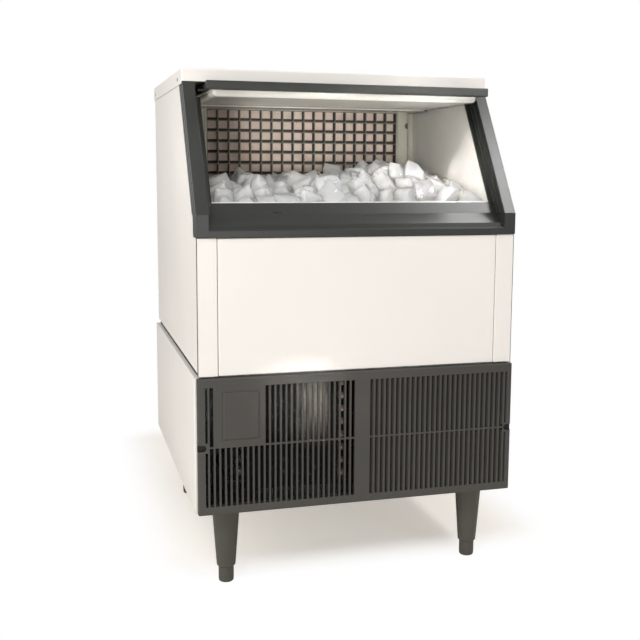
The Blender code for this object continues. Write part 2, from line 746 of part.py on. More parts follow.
def build_bin():
    """The thin white bin liner and the foam around it, both open at the slanted front and the top."""
    outer = rounded(
        [
            (BIN_FRONT - LINER_WALL, BIN_FLOOR - LINER_WALL, 0.023),
            (BIN_BACK + LINER_WALL, BIN_FLOOR - LINER_WALL, 0.023),
            (BIN_BACK + LINER_WALL, BIN_SIDE_TOP, 0),
            (slope_y(BIN_SIDE_TOP, -SEAT_BACK - 0.0008), BIN_SIDE_TOP, 0),
            (slope_y(BIN_FRONT_TOP, -SEAT_BACK - 0.0008), BIN_FRONT_TOP, 0),
            (BIN_FRONT - LINER_WALL, BIN_FRONT_TOP, 0),
        ],
        4,
    )
    half = BIN_HALF_WIDTH + LINER_WALL
    liner = solid("bin_liner", prism(outer, "x", -half, half), white_plastic)
    inner = rounded(
        [
            (BIN_FRONT, BIN_FLOOR, 0.020),
            (BIN_BACK, BIN_FLOOR, 0.020),
            (BIN_BACK, 0.800, 0),
            (BIN_FRONT, 0.800, 0),
        ],
        4,
    )
    cut(liner, prism(inner, "x", -BIN_HALF_WIDTH, BIN_HALF_WIDTH), "hollow")

    shell_front, shell_back, shell_top = 0.0208, 0.6545, 0.7588
    behind = -JAMB_DEPTH - 0.0010
    step_y, step_z = 0.0458, PANEL_TOP + 0.0005
    outline = [
        (shell_front, LOWER_HEIGHT + 0.0008),
        (shell_back, LOWER_HEIGHT + 0.0008),
        (shell_back, shell_top),
        (slope_y(shell_top, behind), shell_top),
        (step_y, SLOPE_FOOT[1] + (step_y - slope_y(SLOPE_FOOT[1], behind)) * math.tan(SLOPE_ANGLE)),
        (step_y, step_z),
        (shell_front, step_z),
    ]
    shell = solid("bin_insulation", prism(outline, "x", -0.3032, 0.3032), foam)
    room = [(y + (-GAP if y < 0.3 else GAP), z - GAP) for y, z in outer[:10]]
    room += [
        (BIN_BACK + LINER_WALL + GAP, 0.800),
        (0.0300, 0.800),
        (0.0300, step_z),
        (BIN_FRONT - LINER_WALL - GAP, step_z),
    ]
    cut(shell, prism(room, "x", -half - GAP, half + GAP), "hollow")

    hole = [(0, -0.10), (0.0125, -0.10), (0.0125, 0.05), (0, 0.05)]
    for piece in (liner, shell, bpy.data.objects["compartment_deck"]):
        cut(piece, turned(hole, (*DRAIN_AT, BIN_FLOOR), "z", 16), "drain_hole")
    holes, chases = new_shape(), new_shape()
    for x, z in (LIQUID_HOLE, SUCTION_HOLE):
        bore = [(0, -0.03), (0.0065, -0.03), (0.0065, 0.01), (0, 0.01)]
        add_turned(holes, bore, (x, CHASE_Y, z), "y", 12)
        add_box(chases, (x - 0.0075, CHASE_Y - 0.0075, 0.2300), (x + 0.0075, 0.6700, z + 0.0075))
    cut(liner, holes.copy(), "line_holes")
    cut(shell, holes, "line_holes")
    cut(shell, chases.copy(), "line_chases")
    cut(bpy.data.objects["compartment_deck"], chases, "line_holes")


def ice_height(x, y):
    """The height of the heap of ice: it climbs from the sill towards the evaporator, in drifts."""
    rise = min(1.0, max(0.0, (y - BIN_FRONT) / 0.10))
    mound = 0.016 * math.exp(-(((x - 0.13) / 0.09) ** 2))
    crest = 0.603 + mound - 0.012 * math.exp(-(((x + 0.15) / 0.035) ** 2))
    drift = 0.004 * math.sin(37 * x + 21 * y) + 0.003 * math.sin(61 * y - 29 * x + 1.3)
    edge = 0.020 * max(0.0, (abs(x) - 0.23) / 0.04)
    return 0.556 + (crest - 0.556) * math.sin(rise * math.pi / 2) + drift * rise - edge


def build_ice():
    """The ice in the bin, as one heap with a drifted top."""
    columns, rows = 16, 10
    half, front, back, floor = 0.2700, BIN_FRONT + 0.001, 0.4530, BIN_FLOOR + GAP
    shape = new_shape()
    top = []
    for j in range(rows + 1):
        y = front + (back - front) * j / rows
        line = []
        for i in range(columns + 1):
            x = -half + 2 * half * i / columns
            line.append(shape.verts.new((x, y, ice_height(x, y))))
        top.append(line)
    for j in range(rows):
        for i in range(columns):
            shape.faces.new((top[j][i], top[j][i + 1], top[j + 1][i + 1], top[j + 1][i]))
    rim = top[0] + [top[j][-1] for j in range(1, rows + 1)]
    rim += top[-1][-2::-1] + [top[j][0] for j in range(rows - 1, 0, -1)]
    waist = [shape.verts.new((v.co.x, v.co.y, floor + 0.022)) for v in rim]
    foot = [shape.verts.new((v.co.x, max(v.co.y, front + 0.022), floor)) for v in rim]
    count = len(rim)
    for one, two in ((rim, waist), (waist, foot)):
        for i in range(count):
            j = (i + 1) % count
            shape.faces.new((one[i], one[j], two[j], two[i]))
    shape.faces.new(foot)
    heap = solid("ice_heap", shape, ice)
    return smooth(heap, 60)


def build_evaporator_grid():
    """The waffle-shaped freezing plate: rows of pockets whose floors and roofs fall towards the front."""
    xs, zs = [], []
    for column in range(GRID_COLUMNS + 1):
        x = GRID_LEFT + column * COLUMN_PITCH
        xs += [x - DIVIDER / 2, x + DIVIDER / 2]
    for row in range(GRID_ROWS + 1):
        z = GRID_TOP - (GRID_ROWS - row) * ROW_PITCH
        zs += [z - DIVIDER / 2, z + DIVIDER / 2]
    shape = new_shape()
    front = [[shape.verts.new((x, GRID_FRONT, z)) for x in xs] for z in zs]
    deep_y = GRID_FRONT + POCKET_DEPTH
    for j in range(len(zs) - 1):
        for i in range(len(xs) - 1):
            corners = [front[j][i], front[j][i + 1], front[j + 1][i + 1], front[j + 1][i]]
            if i % 2 == 0 or j % 2 == 0:
                shape.faces.new(corners)
                continue
            deep = [shape.verts.new((v.co.x, deep_y, v.co.z)) for v in corners]
            for v in deep:
                v.co.z += POCKET_RISE * (1 if v.co.z < zs[j] + 0.001 else 0.55)
            shape.faces.new(deep)
            for k in range(4):
                n = (k + 1) % 4
                shape.faces.new((corners[k], corners[n], deep[n], deep[k]))
    rim = front[0] + [row[-1] for row in front[1:]] + front[-1][-2::-1]
    rim += [row[0] for row in front[-2:0:-1]]
    back = [shape.verts.new((v.co.x, GRID_BACK, v.co.z)) for v in rim]
    count = len(rim)
    for i in range(count):
        j = (i + 1) % count
        shape.faces.new((rim[i], rim[j], back[j], back[i]))
    shape.faces.new(back)
    solid("evaporator_grid", shape, copper)


def rectangle_ring(inner, outer, profile):
    """A mitred frame in the x-z plane, with a profile of (share from inner to outer rectangle, y)."""
    shape = new_shape()
    loops = []
    for share, y in profile:
        x0, z0, x1, z1 = [a + (b - a) * share for a, b in zip(inner, outer)]
        loops.append([shape.verts.new(c) for c in ((x0, y, z0), (x1, y, z0), (x1, y, z1), (x0, y, z1))])
    for one, two in zip(loops, loops[1:] + loops[:1]):
        for k in range(4):
            n = (k + 1) % 4
            shape.faces.new((one[k], one[n], two[n], two[k]))
    return shape


def build_evaporator():
    """The freezing plate, its plastic surround, the tube behind it and the water parts above and below."""
    build_evaporator_grid()
    margin = DIVIDER / 2 + GAP
    right = GRID_LEFT + GRID_COLUMNS * COLUMN_PITCH
    bottom = GRID_TOP - GRID_ROWS * ROW_PITCH
    inner = (GRID_LEFT - margin, bottom - margin, right + margin, GRID_TOP + margin)
    outer = (-0.2400, bottom - 0.020, 0.2560, GRID_TOP + 0.013)
    profile = [
        (0.0, GRID_FRONT - 0.0050),
        (0.05, GRID_FRONT - 0.0075),
        (0.17, GRID_FRONT - 0.0075),
        (0.22, GRID_FRONT - 0.0045),
        (0.95, GRID_FRONT - 0.0045),
        (1.0, GRID_FRONT - 0.0030),
        (1.0, GRID_BACK),
        (0.0, GRID_BACK),
    ]
    surround = solid("evaporator_surround", rectangle_ring(inner, outer, profile), ivory_plastic)
    notches = new_shape()
    for side_x in (outer[0], outer[2]):
        for z in SCREW_HEIGHTS:
            add_turned(
                notches,
                [(0, -0.02), (0.0070, -0.02), (0.0070, 0.002), (0, 0.002)],
                (side_x, GRID_FRONT, z),
                "y",
                16,
            )
    for side, word in ((-1, "left"), (1, "right")):
        edge = outer[2] if side > 0 else outer[0]
        wall = side * (BIN_HALF_WIDTH - GAP)
        rail = [
            (edge - side * 0.0040, GRID_BACK - 0.0020),
            (edge + side * 0.0030, GRID_BACK - 0.0020),
            (edge + side * 0.0030, GRID_FRONT + 0.0025),
            (edge + side * 0.0045, GRID_FRONT + 0.0010),
            (wall, GRID_FRONT + 0.0010),
            (wall, GRID_BACK + 0.0020),
            (edge - side * 0.0040, GRID_BACK + 0.0020),
        ]
        add(surround, prism(rail, "z", 0.4530, 0.7560), f"{word}_rail")
    cut(surround, notches, "screw_notches")
    pitch = 0.0474
    run_left, run_right = LIQUID_HOLE[0], right - 0.030
    y = GRID_BACK + GAP + COIL_RADIUS
    corners = []
    for row in range(6):
        z = bottom + 0.024 + row * pitch
        ends = (run_left, run_right) if row % 2 == 0 else (run_right, run_left)
        corners += [(ends[0], y, z), (ends[1], y, z)]
    corners[-1] = (SUCTION_HOLE[0], y, corners[-1][2])
    corners.append((SUCTION_HOLE[0], COIL_END, corners[-1][2]))
    corners.insert(0, (corners[0][0], COIL_END, corners[0][2]))
    tube("evaporator_coil", arc_route(corners, 0.020), COIL_RADIUS, copper)

    canopy = [
        (0.3860, PLUG_BOTTOM),
        (0.4675, PLUG_BOTTOM),
        (0.4675, PLUG_BOTTOM + 0.0025),
        (0.3885, PLUG_BOTTOM + 0.0025),
        (0.3885, PLUG_BOTTOM + 0.0240),
        (0.3860, PLUG_BOTTOM + 0.0240),
    ]
    solid("evaporator_canopy", prism(canopy, "x", -0.2705, 0.2705), white_plastic)

    pipe_y, pipe_z = 0.4830, outer[3] + GAP + 0.0080
    body = [
        (0, -0.2350),
        (0.0080, -0.2350),
        (0.0080, 0.2500),
        (0.0060, 0.2520),
        (0.0060, 0.2600),
        (0, 0.2600),
    ]
    distributor = solid("water_distributor", turned(body, (0.0, pipe_y, pipe_z), "x", 12), ivory_plastic)
    smooth(distributor)

    pan(
        "water_trough",
        (-0.2400, 0.4600, 0.3950),
        (0.2560, 0.5750, 0.4480),
        "+z",
        ivory_plastic,
        thickness=0.0025,
        radius=0.008,
        steps=3,
    )
    pump_x, pump_y = 0.205, 0.543
    pump = [
        (0, 0.3980),
        (0.0180, 0.3980),
        (0.0200, 0.4010),
        (0.0200, 0.4140),
        (0.0060, 0.4170),
        (0.0060, 0.4620),
        (0.0220, 0.4640),
        (0.0240, 0.4680),
        (0.0240, 0.5250),
        (0.0200, 0.5320),
        (0, 0.5340),
    ]
    smooth(solid("water_pump", turned(pump, (pump_x, pump_y, 0.0), "z", 16), black_plastic))
    hose_x = pump_x - 0.0450
    hose = [
        (pump_x - 0.0205, pump_y, 0.4080),
        (hose_x, pump_y, 0.4080),
        (hose_x, pump_y, pipe_z),
        (hose_x, pipe_y + 0.0083, pipe_z),
    ]
    tube("water_hose", arc_route(hose, 0.010), 0.0040, clear_plastic)


def build_grille():
    """The moulded front grille.

    It has see-through slats on the left, leaning louvres on the right, a mid rib, a plain field for a
    cover plate, and a screw pocket at each end of the rib.
    """
    half = GRILLE_WIDTH / 2
    shape = box((-half, GRILLE_FRONT, 0.0), (half, GRILLE_BACK, LOWER_HEIGHT))
    edges = [e for e in shape.edges if any(v.co.y < GRILLE_FRONT + 1e-6 for v in e.verts)]
    bmesh.ops.bevel(shape, geom=edges, offset=0.0025, segments=2, profile=0.5, affect="EDGES")
    grille = solid("front_grille", shape, grille_plastic)
    low = (-half + 0.0030, OPEN_SLAT_BACK, 0.0040)
    cut(grille, box(low, (-0.0050, GRILLE_BACK + 0.01, LOWER_HEIGHT - 0.0040)), "left_relief")

    slots = new_shape()
    near, far = -0.005, GRILLE_BACK + 0.005
    lean = LOUVRE_LEAN / (GRILLE_BACK - GRILLE_FRONT)
    for row, whole in enumerate(SLOT_ROWS):
        for i in range(SLOTS):
            low_z, high_z = SCREW_ROWS[row] if i == 0 else whole
            x = LEFT_SLOTS_START + i * SLOT_PITCH
            right = x + OPEN_SLOT
            if i == 0:
                x = right - END_SLOT
            if row == 0 or not 2 <= i <= 10:
                add_box(slots, (x, near, low_z), (right, far, high_z))
            low_z, high_z = SCREW_ROWS[row] if i == SLOTS - 1 else whole
            x = RIGHT_SLOTS_START + i * SLOT_PITCH
            wide = END_SLOT if i == SLOTS - 1 else LOUVRE_SLOT
            ahead, behind = lean * (GRILLE_FRONT - near), lean * (far - GRILLE_FRONT)
            start, end = x + ahead, x - behind
            outline = [(start, near), (start + wide, near), (end + wide, far), (end, far)]
            add_prism(slots, outline, "z", low_z, high_z)
    cut(grille, slots, "slots")

    recess = new_shape()
    rim = 0.0006
    low = (PLATE_LOW[0] - rim, -0.01, PLATE_LOW[1] - rim)
    add_box(recess, low, (PLATE_HIGH[0] + rim, GRILLE_FRONT + 0.0012, PLATE_HIGH[1] + rim))
    screw_x, screw_z, radius = GRILLE_SCREW
    for side in (-1, 1):
        pocket = [(side * (half + 0.001), screw_z - radius), (side * (half + 0.001), screw_z + radius)]
        for step in range(9):
            angle = math.pi * (0.5 + step / 8)
            pocket.append((side * (screw_x + radius * math.cos(angle)), screw_z + radius * math.sin(angle)))
        add_prism(recess, pocket, "y", -0.01, GRILLE_FRONT + 0.0045)
    cut(grille, recess, "recesses")

    plate = box((PLATE_LOW[0], 0.0, PLATE_LOW[1]), (PLATE_HIGH[0], 0.0021, PLATE_HIGH[1]))
    for v in plate.verts:
        if v.co.y < 0.001:
            v.co.y = 0.0010
    face = min(plate.faces, key=lambda f: f.calc_center_median().y)
    raised = bmesh.ops.extrude_face_region(plate, geom=[face])["geom"]
    bmesh.ops.delete(plate, geom=[face], context="FACES_ONLY")
    for v in raised:
        if isinstance(v, bmesh.types.BMVert):
            v.co.x += 0.0036 if v.co.x < -0.23 else -0.0036
            v.co.z += 0.0026 if v.co.z < 0.18 else -0.0026
            v.co.y = 0.0
    solid("grille_cover_plate", plate, grille_plastic)


def build_condenser():
    """The air-cooled condenser: a finned block with one copper tube to and fro through it in two layers."""
    left, right = COIL_LEFT, COIL_RIGHT
    front, core, back = 0.0300, 0.0400, 0.0720
    pitch, fin = 0.0060, 0.0012
    outline = [(left, back)]
    count = int((right - left) / pitch)
    for i in range(count + 1):
        x = left + i * pitch
        outline += [(x, core), (x, front), (x + fin, front), (x + fin, core)]
    outline.append((outline[-1][0], back))
    outline.pop(1)
    fins = solid("condenser_fins", prism(outline, "z", 0.0320, 0.2340), fin_stock)
    bores = new_shape()
    radius = COIL_RADIUS + 2 * GAP
    for row in range(COIL_ROWS):
        for y in COIL_LAYERS:
            bore = [(0, left - 0.01), (radius, left - 0.01), (radius, right + 0.02), (0, right + 0.02)]
            add_turned(bores, bore, (0.0, y, COIL_FIRST + row * COIL_PITCH), "x", 8)
    cut(fins, bores, "tube_bores")
    points = [Vector((left - 0.008, COIL_LAYERS[0], COIL_FIRST))]
    for row in range(COIL_ROWS):
        z = COIL_FIRST + row * COIL_PITCH
        one, two = COIL_LAYERS if row % 2 == 0 else COIL_LAYERS[::-1]
        middle, reach = (one + two) / 2, (two - one) / 2
        for step in range(5):
            angle = math.pi * step / 4
            x = COIL_BEND + abs(reach) * math.sin(angle)
            points.append(Vector((x, middle - reach * math.cos(angle), z)))
        if row < COIL_ROWS - 1:
            rise = COIL_PITCH / 2
            for step in range(5):
                angle = math.pi * step / 4
                x = left - 0.0040 - rise * math.sin(angle)
                points.append(Vector((x, two, z + rise - rise * math.cos(angle))))
        else:
            points.append(Vector((left - 0.008, two, z)))
    tube("condenser_coil", points, COIL_RADIUS, copper, 2)


def build_fan():
    """The fan behind the condenser: a sheet shroud, a motor on a strap and a five-bladed fan."""
    x, z = FAN_AT
    face, collar = 0.0760, 0.1010
    shroud = solid(
        "fan_shroud",
        box((x - 0.1000, face, z - 0.1020), (x + 0.1000, face + 0.0015, z + 0.1000)),
        galvanised,
    )
    ring = cylinder(FAN_RADIUS + 0.0055, face + 0.0005, collar, (x, 0.0, z), "y", 28)
    add(shroud, ring, "collar")
    cut(shroud, cylinder(FAN_RADIUS + 0.0040, face - 0.02, collar + 0.02, (x, 0.0, z), "y", 28), "bore")

    hub_front, hub_back = 0.0860, 0.1080
    centre = (x, 0.0, z)
    hub = [
        (0, hub_front),
        (0.0140, hub_front + 0.001),
        (0.0190, hub_front + 0.006),
        (0.0190, hub_back),
        (0.0034, hub_back),
        (0.0034, hub_front + 0.006),
        (0, hub_front + 0.006),
    ]
    origin = (x, (hub_front + hub_back) / 2, z)
    blade = solid("fan_blade", turned(hub, centre, "y", 20), black_plastic, origin)
    blades = 5
    for number in range(blades):
        add(blade, fan_blade_shape(centre, 2 * math.pi * number / blades), f"blade_{number + 1}")

    motor_front = hub_back + 0.004
    motor = [
        (0, hub_front + 0.0065),
        (0.0030, hub_front + 0.0065),
        (0.0030, motor_front),
        (0.0110, motor_front),
        (0.0110, motor_front + 0.004),
        (0.0360, motor_front + 0.006),
        (0.0390, motor_front + 0.010),
        (0.0390, motor_front + 0.046),
        (0.0350, motor_front + 0.052),
        (0, motor_front + 0.052),
    ]
    fan_motor = solid("fan_motor", turned(motor, centre, "y", 20), steel)
    strap_y = motor_front + 0.0515
    strap = [
        (strap_y, PAN_SHEET + GAP),
        (strap_y + 0.0450, PAN_SHEET + GAP),
        (strap_y + 0.0450, PAN_SHEET + GAP + 0.0020),
        (strap_y + 0.0020, PAN_SHEET + GAP + 0.0020),
        (strap_y + 0.0020, z + 0.0320),
        (strap_y, z + 0.0320),
    ]
    add(fan_motor, prism(strap, "x", x - 0.0280, x + 0.0280), "bracket")
    smooth(fan_motor)


def fan_blade_shape(centre, turn):
    """One pitched blade of even thickness, which starts inside the hub."""
    radii = (0.0150, 0.0320, 0.0520, 0.0720, FAN_RADIUS)
    pitches = (42, 38, 33, 29, 26)
    spans = (22, 26, 30, 32, 30)
    thickness = 0.0010
    shape = new_shape()
    layers = []
    for face in (-1, 1):
        grid = []
        for radius, pitch, span in zip(radii, pitches, spans):
            line = []
            for step in range(4):
                angle = math.radians(span) * (step / 3 - 0.5)
                lift = 0.527 * radius * angle * math.tan(math.radians(pitch))
                along = 0.0970 + lift + face * thickness
                total = turn + angle
                spot = (
                    centre[0] + radius * math.sin(total),
                    centre[1] + along,
                    centre[2] + radius * math.cos(total),
                )
                line.append(shape.verts.new(spot))
            grid.append(line)
        layers.append(grid)
    rows, columns = len(radii), 4
    for grid in layers:
        for j in range(rows - 1):
            for i in range(columns - 1):
                shape.faces.new((grid[j][i], grid[j][i + 1], grid[j + 1][i + 1], grid[j + 1][i]))
    low, high = layers
    for j in range(rows - 1):
        for i in (0, columns - 1):
            shape.faces.new((low[j][i], low[j + 1][i], high[j + 1][i], high[j][i]))
    for i in range(columns - 1):
        for j in (0, rows - 1):
            shape.faces.new((low[j][i], low[j][i + 1], high[j][i + 1], high[j][i]))
    return shape


def build_refrigeration():
    """The compressor, the drier and the copper lines of the machine compartment."""
    x, y = COMPRESSOR_AT
    floor = PAN_SHEET + GAP
    shell = [
        (0, floor + 0.010),
        (0.0600, floor + 0.012),
        (0.0740, floor + 0.022),
        (0.0780, floor + 0.036),
        (0.0780, floor + 0.085),
        (0.0800, floor + 0.086),
        (0.0800, floor + 0.094),
        (0.0780, floor + 0.095),
        (0.0770, floor + 0.140),
        (0.0700, floor + 0.158),
        (0.0500, floor + 0.170),
        (0.0200, floor + 0.176),
        (0, floor + 0.177),
    ]
    compressor = solid("compressor", turned(shell, (x, y, 0.0), "z", 24), black_enamel)
    foot = rounded(
        [
            (x - 0.0980, y - 0.0720, 0.014),
            (x + 0.0980, y - 0.0720, 0.014),
            (x + 0.0980, y + 0.0720, 0.014),
            (x - 0.0980, y + 0.0720, 0.014),
        ],
        3,
    )
    add(compressor, prism(foot, "z", floor + 0.010, floor + 0.0135), "foot_plate")
    low, high = (x - 0.0280, y - 0.1020, floor + 0.060), (x + 0.0280, y - 0.0600, floor + 0.118)
    add(compressor, box(low, high), "terminal_box")
    for number, (dx, dy) in enumerate(((-1, -1), (1, -1), (1, 1), (-1, 1))):
        spot = (x + dx * 0.0850, y + dy * 0.0580, 0.0)
        grommet = [(0, floor), (0.0110, floor), (0.0110, floor + 0.0115), (0, floor + 0.0115)]
        add(compressor, turned(grommet, spot, "z", 12), f"grommet_{number + 1}")
    smooth(compressor, 30)

    coil_y, coil_low = COIL_LAYERS[0], COIL_FIRST
    coil_high = COIL_FIRST + (COIL_ROWS - 1) * COIL_PITCH
    coil_end = COIL_LEFT - 0.0080 - GAP
    discharge = [
        (x, y, floor + 0.177 + GAP),
        (x, y, coil_high),
        (COIL_LEFT - 0.0250, y, coil_high),
        (COIL_LEFT - 0.0250, coil_y, coil_high),
        (coil_end, coil_y, coil_high),
    ]
    tube("discharge_line", arc_route(discharge, 0.012), 0.0032, copper)

    liquid_x, liquid_z = LIQUID_HOLE
    drier_at = (liquid_x, 0.3500, 0.0900)
    bore = 0.0036
    drier = [
        (bore, -0.075),
        (0.0050, -0.075),
        (0.0060, -0.062),
        (0.0220, -0.048),
        (0.0240, -0.042),
        (0.0240, 0.042),
        (0.0220, 0.048),
        (0.0060, 0.062),
        (0.0050, 0.075),
        (bore, 0.075),
    ]
    smooth(solid("filter_drier", turned(drier, drier_at, "y", 16), copper))
    aside = COIL_LEFT - 0.0300
    liquid = [
        (coil_end, coil_y, coil_low),
        (aside, coil_y, coil_low),
        (aside, 0.2000, coil_low),
        (drier_at[0], 0.2300, drier_at[2]),
        (drier_at[0], CHASE_Y, drier_at[2]),
        (drier_at[0], CHASE_Y, liquid_z),
        (drier_at[0], COIL_END + GAP, liquid_z),
    ]
    tube("liquid_line", arc_route(liquid, 0.012), 0.0032, copper)

    suction_x, suction_z = SUCTION_HOLE
    suction = [
        (suction_x, COIL_END + GAP, suction_z),
        (suction_x, CHASE_Y, suction_z),
        (suction_x, CHASE_Y, 0.2000),
        (x, CHASE_Y, 0.2000),
        (x, CHASE_Y, 0.1200),
        (x, y + 0.0780 + GAP, 0.1200),
    ]
    tube("suction_line", arc_route(suction, 0.012), 0.0048, copper)


def build_services():
    """The control box, the water inlet valve and the drain pipe."""
    low, high = (0.1650, 0.0450, PAN_SHEET + GAP), (0.2850, 0.1900, 0.1750)
    control = box(low, high)
    edges = list(control.edges)
    bmesh.ops.bevel(control, geom=edges, offset=0.002, segments=2, profile=0.5, affect="EDGES")
    case = solid("control_box", control, galvanised)
    seam = new_shape()
    for start, end in ((low[1] - 0.01, low[1] + 0.0008), (high[1] - 0.0008, high[1] + 0.01)):
        add_box(seam, (low[0] + 0.0120, start, low[2] - 0.01), (low[0] + 0.0130, end, high[2] + 0.01))
    cut(case, seam, "lid_seams")

    x, z, radius = WATER_INLET
    skin = BODY_DEPTH - 0.0005
    valve = [
        (0, skin - 0.070),
        (0.0130, skin - 0.070),
        (0.0130, skin - 0.030),
        (0.0160, skin - 0.028),
        (0.0160, skin - SHEET - GAP),
        (radius, skin - SHEET - GAP),
        (radius, skin - 0.0003),
        (0, skin - 0.0003),
    ]
    body = solid("water_inlet_valve", turned(valve, (x, 0.0, z), "y", 16), black_plastic)
    coil = box((x - 0.0150, skin - 0.064, z + 0.0080), (x + 0.0150, skin - 0.034, z + 0.0430))
    add(body, coil, "solenoid")

    x, z, radius = DRAIN_OUTLET
    top = BIN_FLOOR + 0.0005
    spout = [
        (DRAIN_AT[0], DRAIN_AT[1], top),
        (DRAIN_AT[0], DRAIN_AT[1], z),
        (DRAIN_AT[0], skin - 0.0003, z),
    ]
    tube("bin_drain_pipe", arc_route(spout, 0.025), radius, white_plastic, 2)


def build_legs():
    """Four tapered legs, each with a threaded levelling foot that runs in its bore."""
    for side, word in ((-1, "left"), (1, "right")):
        for y, place in ((LEG_FRONT, "front"), (LEG_BACK, "rear")):
            centre = (side * LEG_X, y, 0.0)
            leg = [
                (0, -GAP),
                (0.0270, -GAP),
                (0.0270, -0.0060),
                (0.0262, -0.0075),
                (0.0180, LEG_BOTTOM + 0.0015),
                (0.0168, LEG_BOTTOM),
                (0.0066, LEG_BOTTOM),
                (0.0066, -0.0650),
                (0, -0.0650),
            ]
            smooth(solid(f"{word}_{place}_leg", turned(leg, centre, "z", 24), leg_plastic))
            foot_top = LEG_BOTTOM - GAP
            foot = [
                (0, -0.0700),
                (0.0062, -0.0700),
                (0.0062, foot_top),
                (FOOT_RADIUS, foot_top),
                (FOOT_RADIUS, -LEG_HEIGHT + 0.0075),
                (FOOT_RADIUS - 0.0005, -LEG_HEIGHT + 0.0015),
                (FOOT_RADIUS - 0.0020, -LEG_HEIGHT),
                (0, -LEG_HEIGHT),
            ]
            origin = (centre[0], centre[1], foot_top)
            smooth(solid(f"{word}_{place}_foot", turned(foot, centre, "z", 16), leg_plastic, origin))


clear_scene()
cabinet = bpy.data.objects.new("cabinet_frame", None)
cabinet.location = (0.0, -BODY_DEPTH / 2, LEG_HEIGHT)
bpy.context.scene.collection.objects.link(cabinet)

white_paint = finish("white_paint", "f1eee8", 0.35)
white_plastic = finish("white_plastic", "eceae4", 0.25)
ivory_plastic = finish("ivory_plastic", "cbc8bb", 0.40)
dark_abs = finish("dark_abs", "43433f", 0.40)
grille_plastic = finish("grille_plastic", "56544e", 0.45)
leg_plastic = finish("leg_plastic", "55524a", 0.45)
black_plastic = finish("black_plastic", "2a2a2a", 0.50)
black_enamel = finish("black_enamel", "1d1d1f", 0.35)
clear_plastic = finish("clear_plastic", "dfe3e2", 0.20)
nylon = finish("nylon", "dcdad2", 0.45)
foam = finish("foam", "e8e0c4", 0.90)
ice = finish("ice", "eef3f5", 0.15)
galvanised = finish("galvanised", "b9bdbf", 0.40, 0.9)
fin_stock = finish("fin_stock", "a7abad", 0.40, 0.9)
steel = finish("steel", "b4b6b8", 0.30, 1.0)
copper = finish("copper", "b98a6c", 0.35, 0.9)

build_top()
build_side_skins()
build_front_skins()
build_rear_skins()
build_base()
build_jambs()
build_sill()
build_tracks()
build_door()
build_bin()
build_ice()
build_evaporator()
build_grille()
build_condenser()
build_fan()
build_refrigeration()
build_services()
build_legs()
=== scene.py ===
"""Undercounter ice machine, dressed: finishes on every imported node, and the small pieces that the solids leave out.

All places are metres in the row frame: x to the right, y to the back, z up, with the floor at z = 0. Places
that were worked out in the cabinet's own frame go through `cabinet`, which shifts them.
"""

import contextlib
import json
import logging
import math
import random
from collections.abc import Iterable, Iterator
from dataclasses import dataclass, field
from enum import Enum

import bmesh
import bpy
from bpy.types import Material, Node, NodeSocket, NodeTree, Object
from mathutils import Matrix, Vector


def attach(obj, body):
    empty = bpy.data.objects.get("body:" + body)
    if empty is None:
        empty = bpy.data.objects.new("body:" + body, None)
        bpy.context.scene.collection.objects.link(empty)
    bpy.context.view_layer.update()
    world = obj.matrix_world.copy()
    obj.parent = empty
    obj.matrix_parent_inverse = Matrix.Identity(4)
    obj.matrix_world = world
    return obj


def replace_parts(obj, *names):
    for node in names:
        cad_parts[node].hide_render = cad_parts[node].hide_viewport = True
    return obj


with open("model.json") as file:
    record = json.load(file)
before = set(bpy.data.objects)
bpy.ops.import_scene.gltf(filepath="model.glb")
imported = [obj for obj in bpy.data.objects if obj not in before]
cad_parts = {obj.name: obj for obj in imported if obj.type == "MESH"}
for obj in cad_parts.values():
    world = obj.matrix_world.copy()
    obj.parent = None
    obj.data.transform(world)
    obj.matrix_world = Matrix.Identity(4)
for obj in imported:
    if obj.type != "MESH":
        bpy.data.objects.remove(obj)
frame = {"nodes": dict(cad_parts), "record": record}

log = logging.getLogger("ice_machine")

CABINET_SHIFT = Vector((0.0, -0.334, 0.1524))
BODY = "cabinet"


def cabinet(x: float, y: float, z: float) -> Vector:
    """A place in the cabinet's own frame, as one in the row frame.

    Args:
        x: Metres to the right of the middle.
        y: Metres behind the grille's face.
        z: Metres above the cabinet's base.

    Returns:
        The same place in the row frame.
    """
    return Vector((x, y, z)) + CABINET_SHIFT


def linear(hex_colour: str) -> tuple[float, float, float, float]:
    """Turns a six-digit sRGB colour into linear RGBA.

    Args:
        hex_colour: The colour, such as "f0ede8".

    Returns:
        Its red, green, blue and alpha as Blender's sockets take them.
    """
    values = [int(hex_colour[i : i + 2], 16) / 255 for i in (0, 2, 4)]
    red, green, blue = (v / 12.92 if v <= 0.04045 else ((v + 0.055) / 1.055) ** 2.4 for v in values)
    return red, green, blue, 1.0


def add_node(
    tree: NodeTree,
    kind: str,
    inputs: dict | None = None,
    stops: Iterable[tuple[float, str]] = (),
    **settings: object,
) -> Node:
    """Adds a node with its settings, values and links.

    Args:
        tree: The tree that gets the node.
        kind: The node's type, without the "ShaderNode" in front.
        inputs: Values or output sockets, by the input's name or number.
        stops: Each position and hex colour of a colour ramp, from low to high.
        **settings: Properties of the node itself.

    Returns:
        The new node.
    """
    made = tree.nodes.new(f"ShaderNode{kind}")
    for name, value in settings.items():
        setattr(made, name, value)
    for key, value in (inputs or {}).items():
        if isinstance(value, NodeSocket):
            tree.links.new(value, made.inputs[key])
        else:
            made.inputs[key].default_value = value
    for number, (position, colour) in enumerate(stops):
        elements = made.color_ramp.elements
        stop = elements[number] if number < 2 else elements.new(position)
        stop.position = position
        stop.color = linear(colour)
    return made


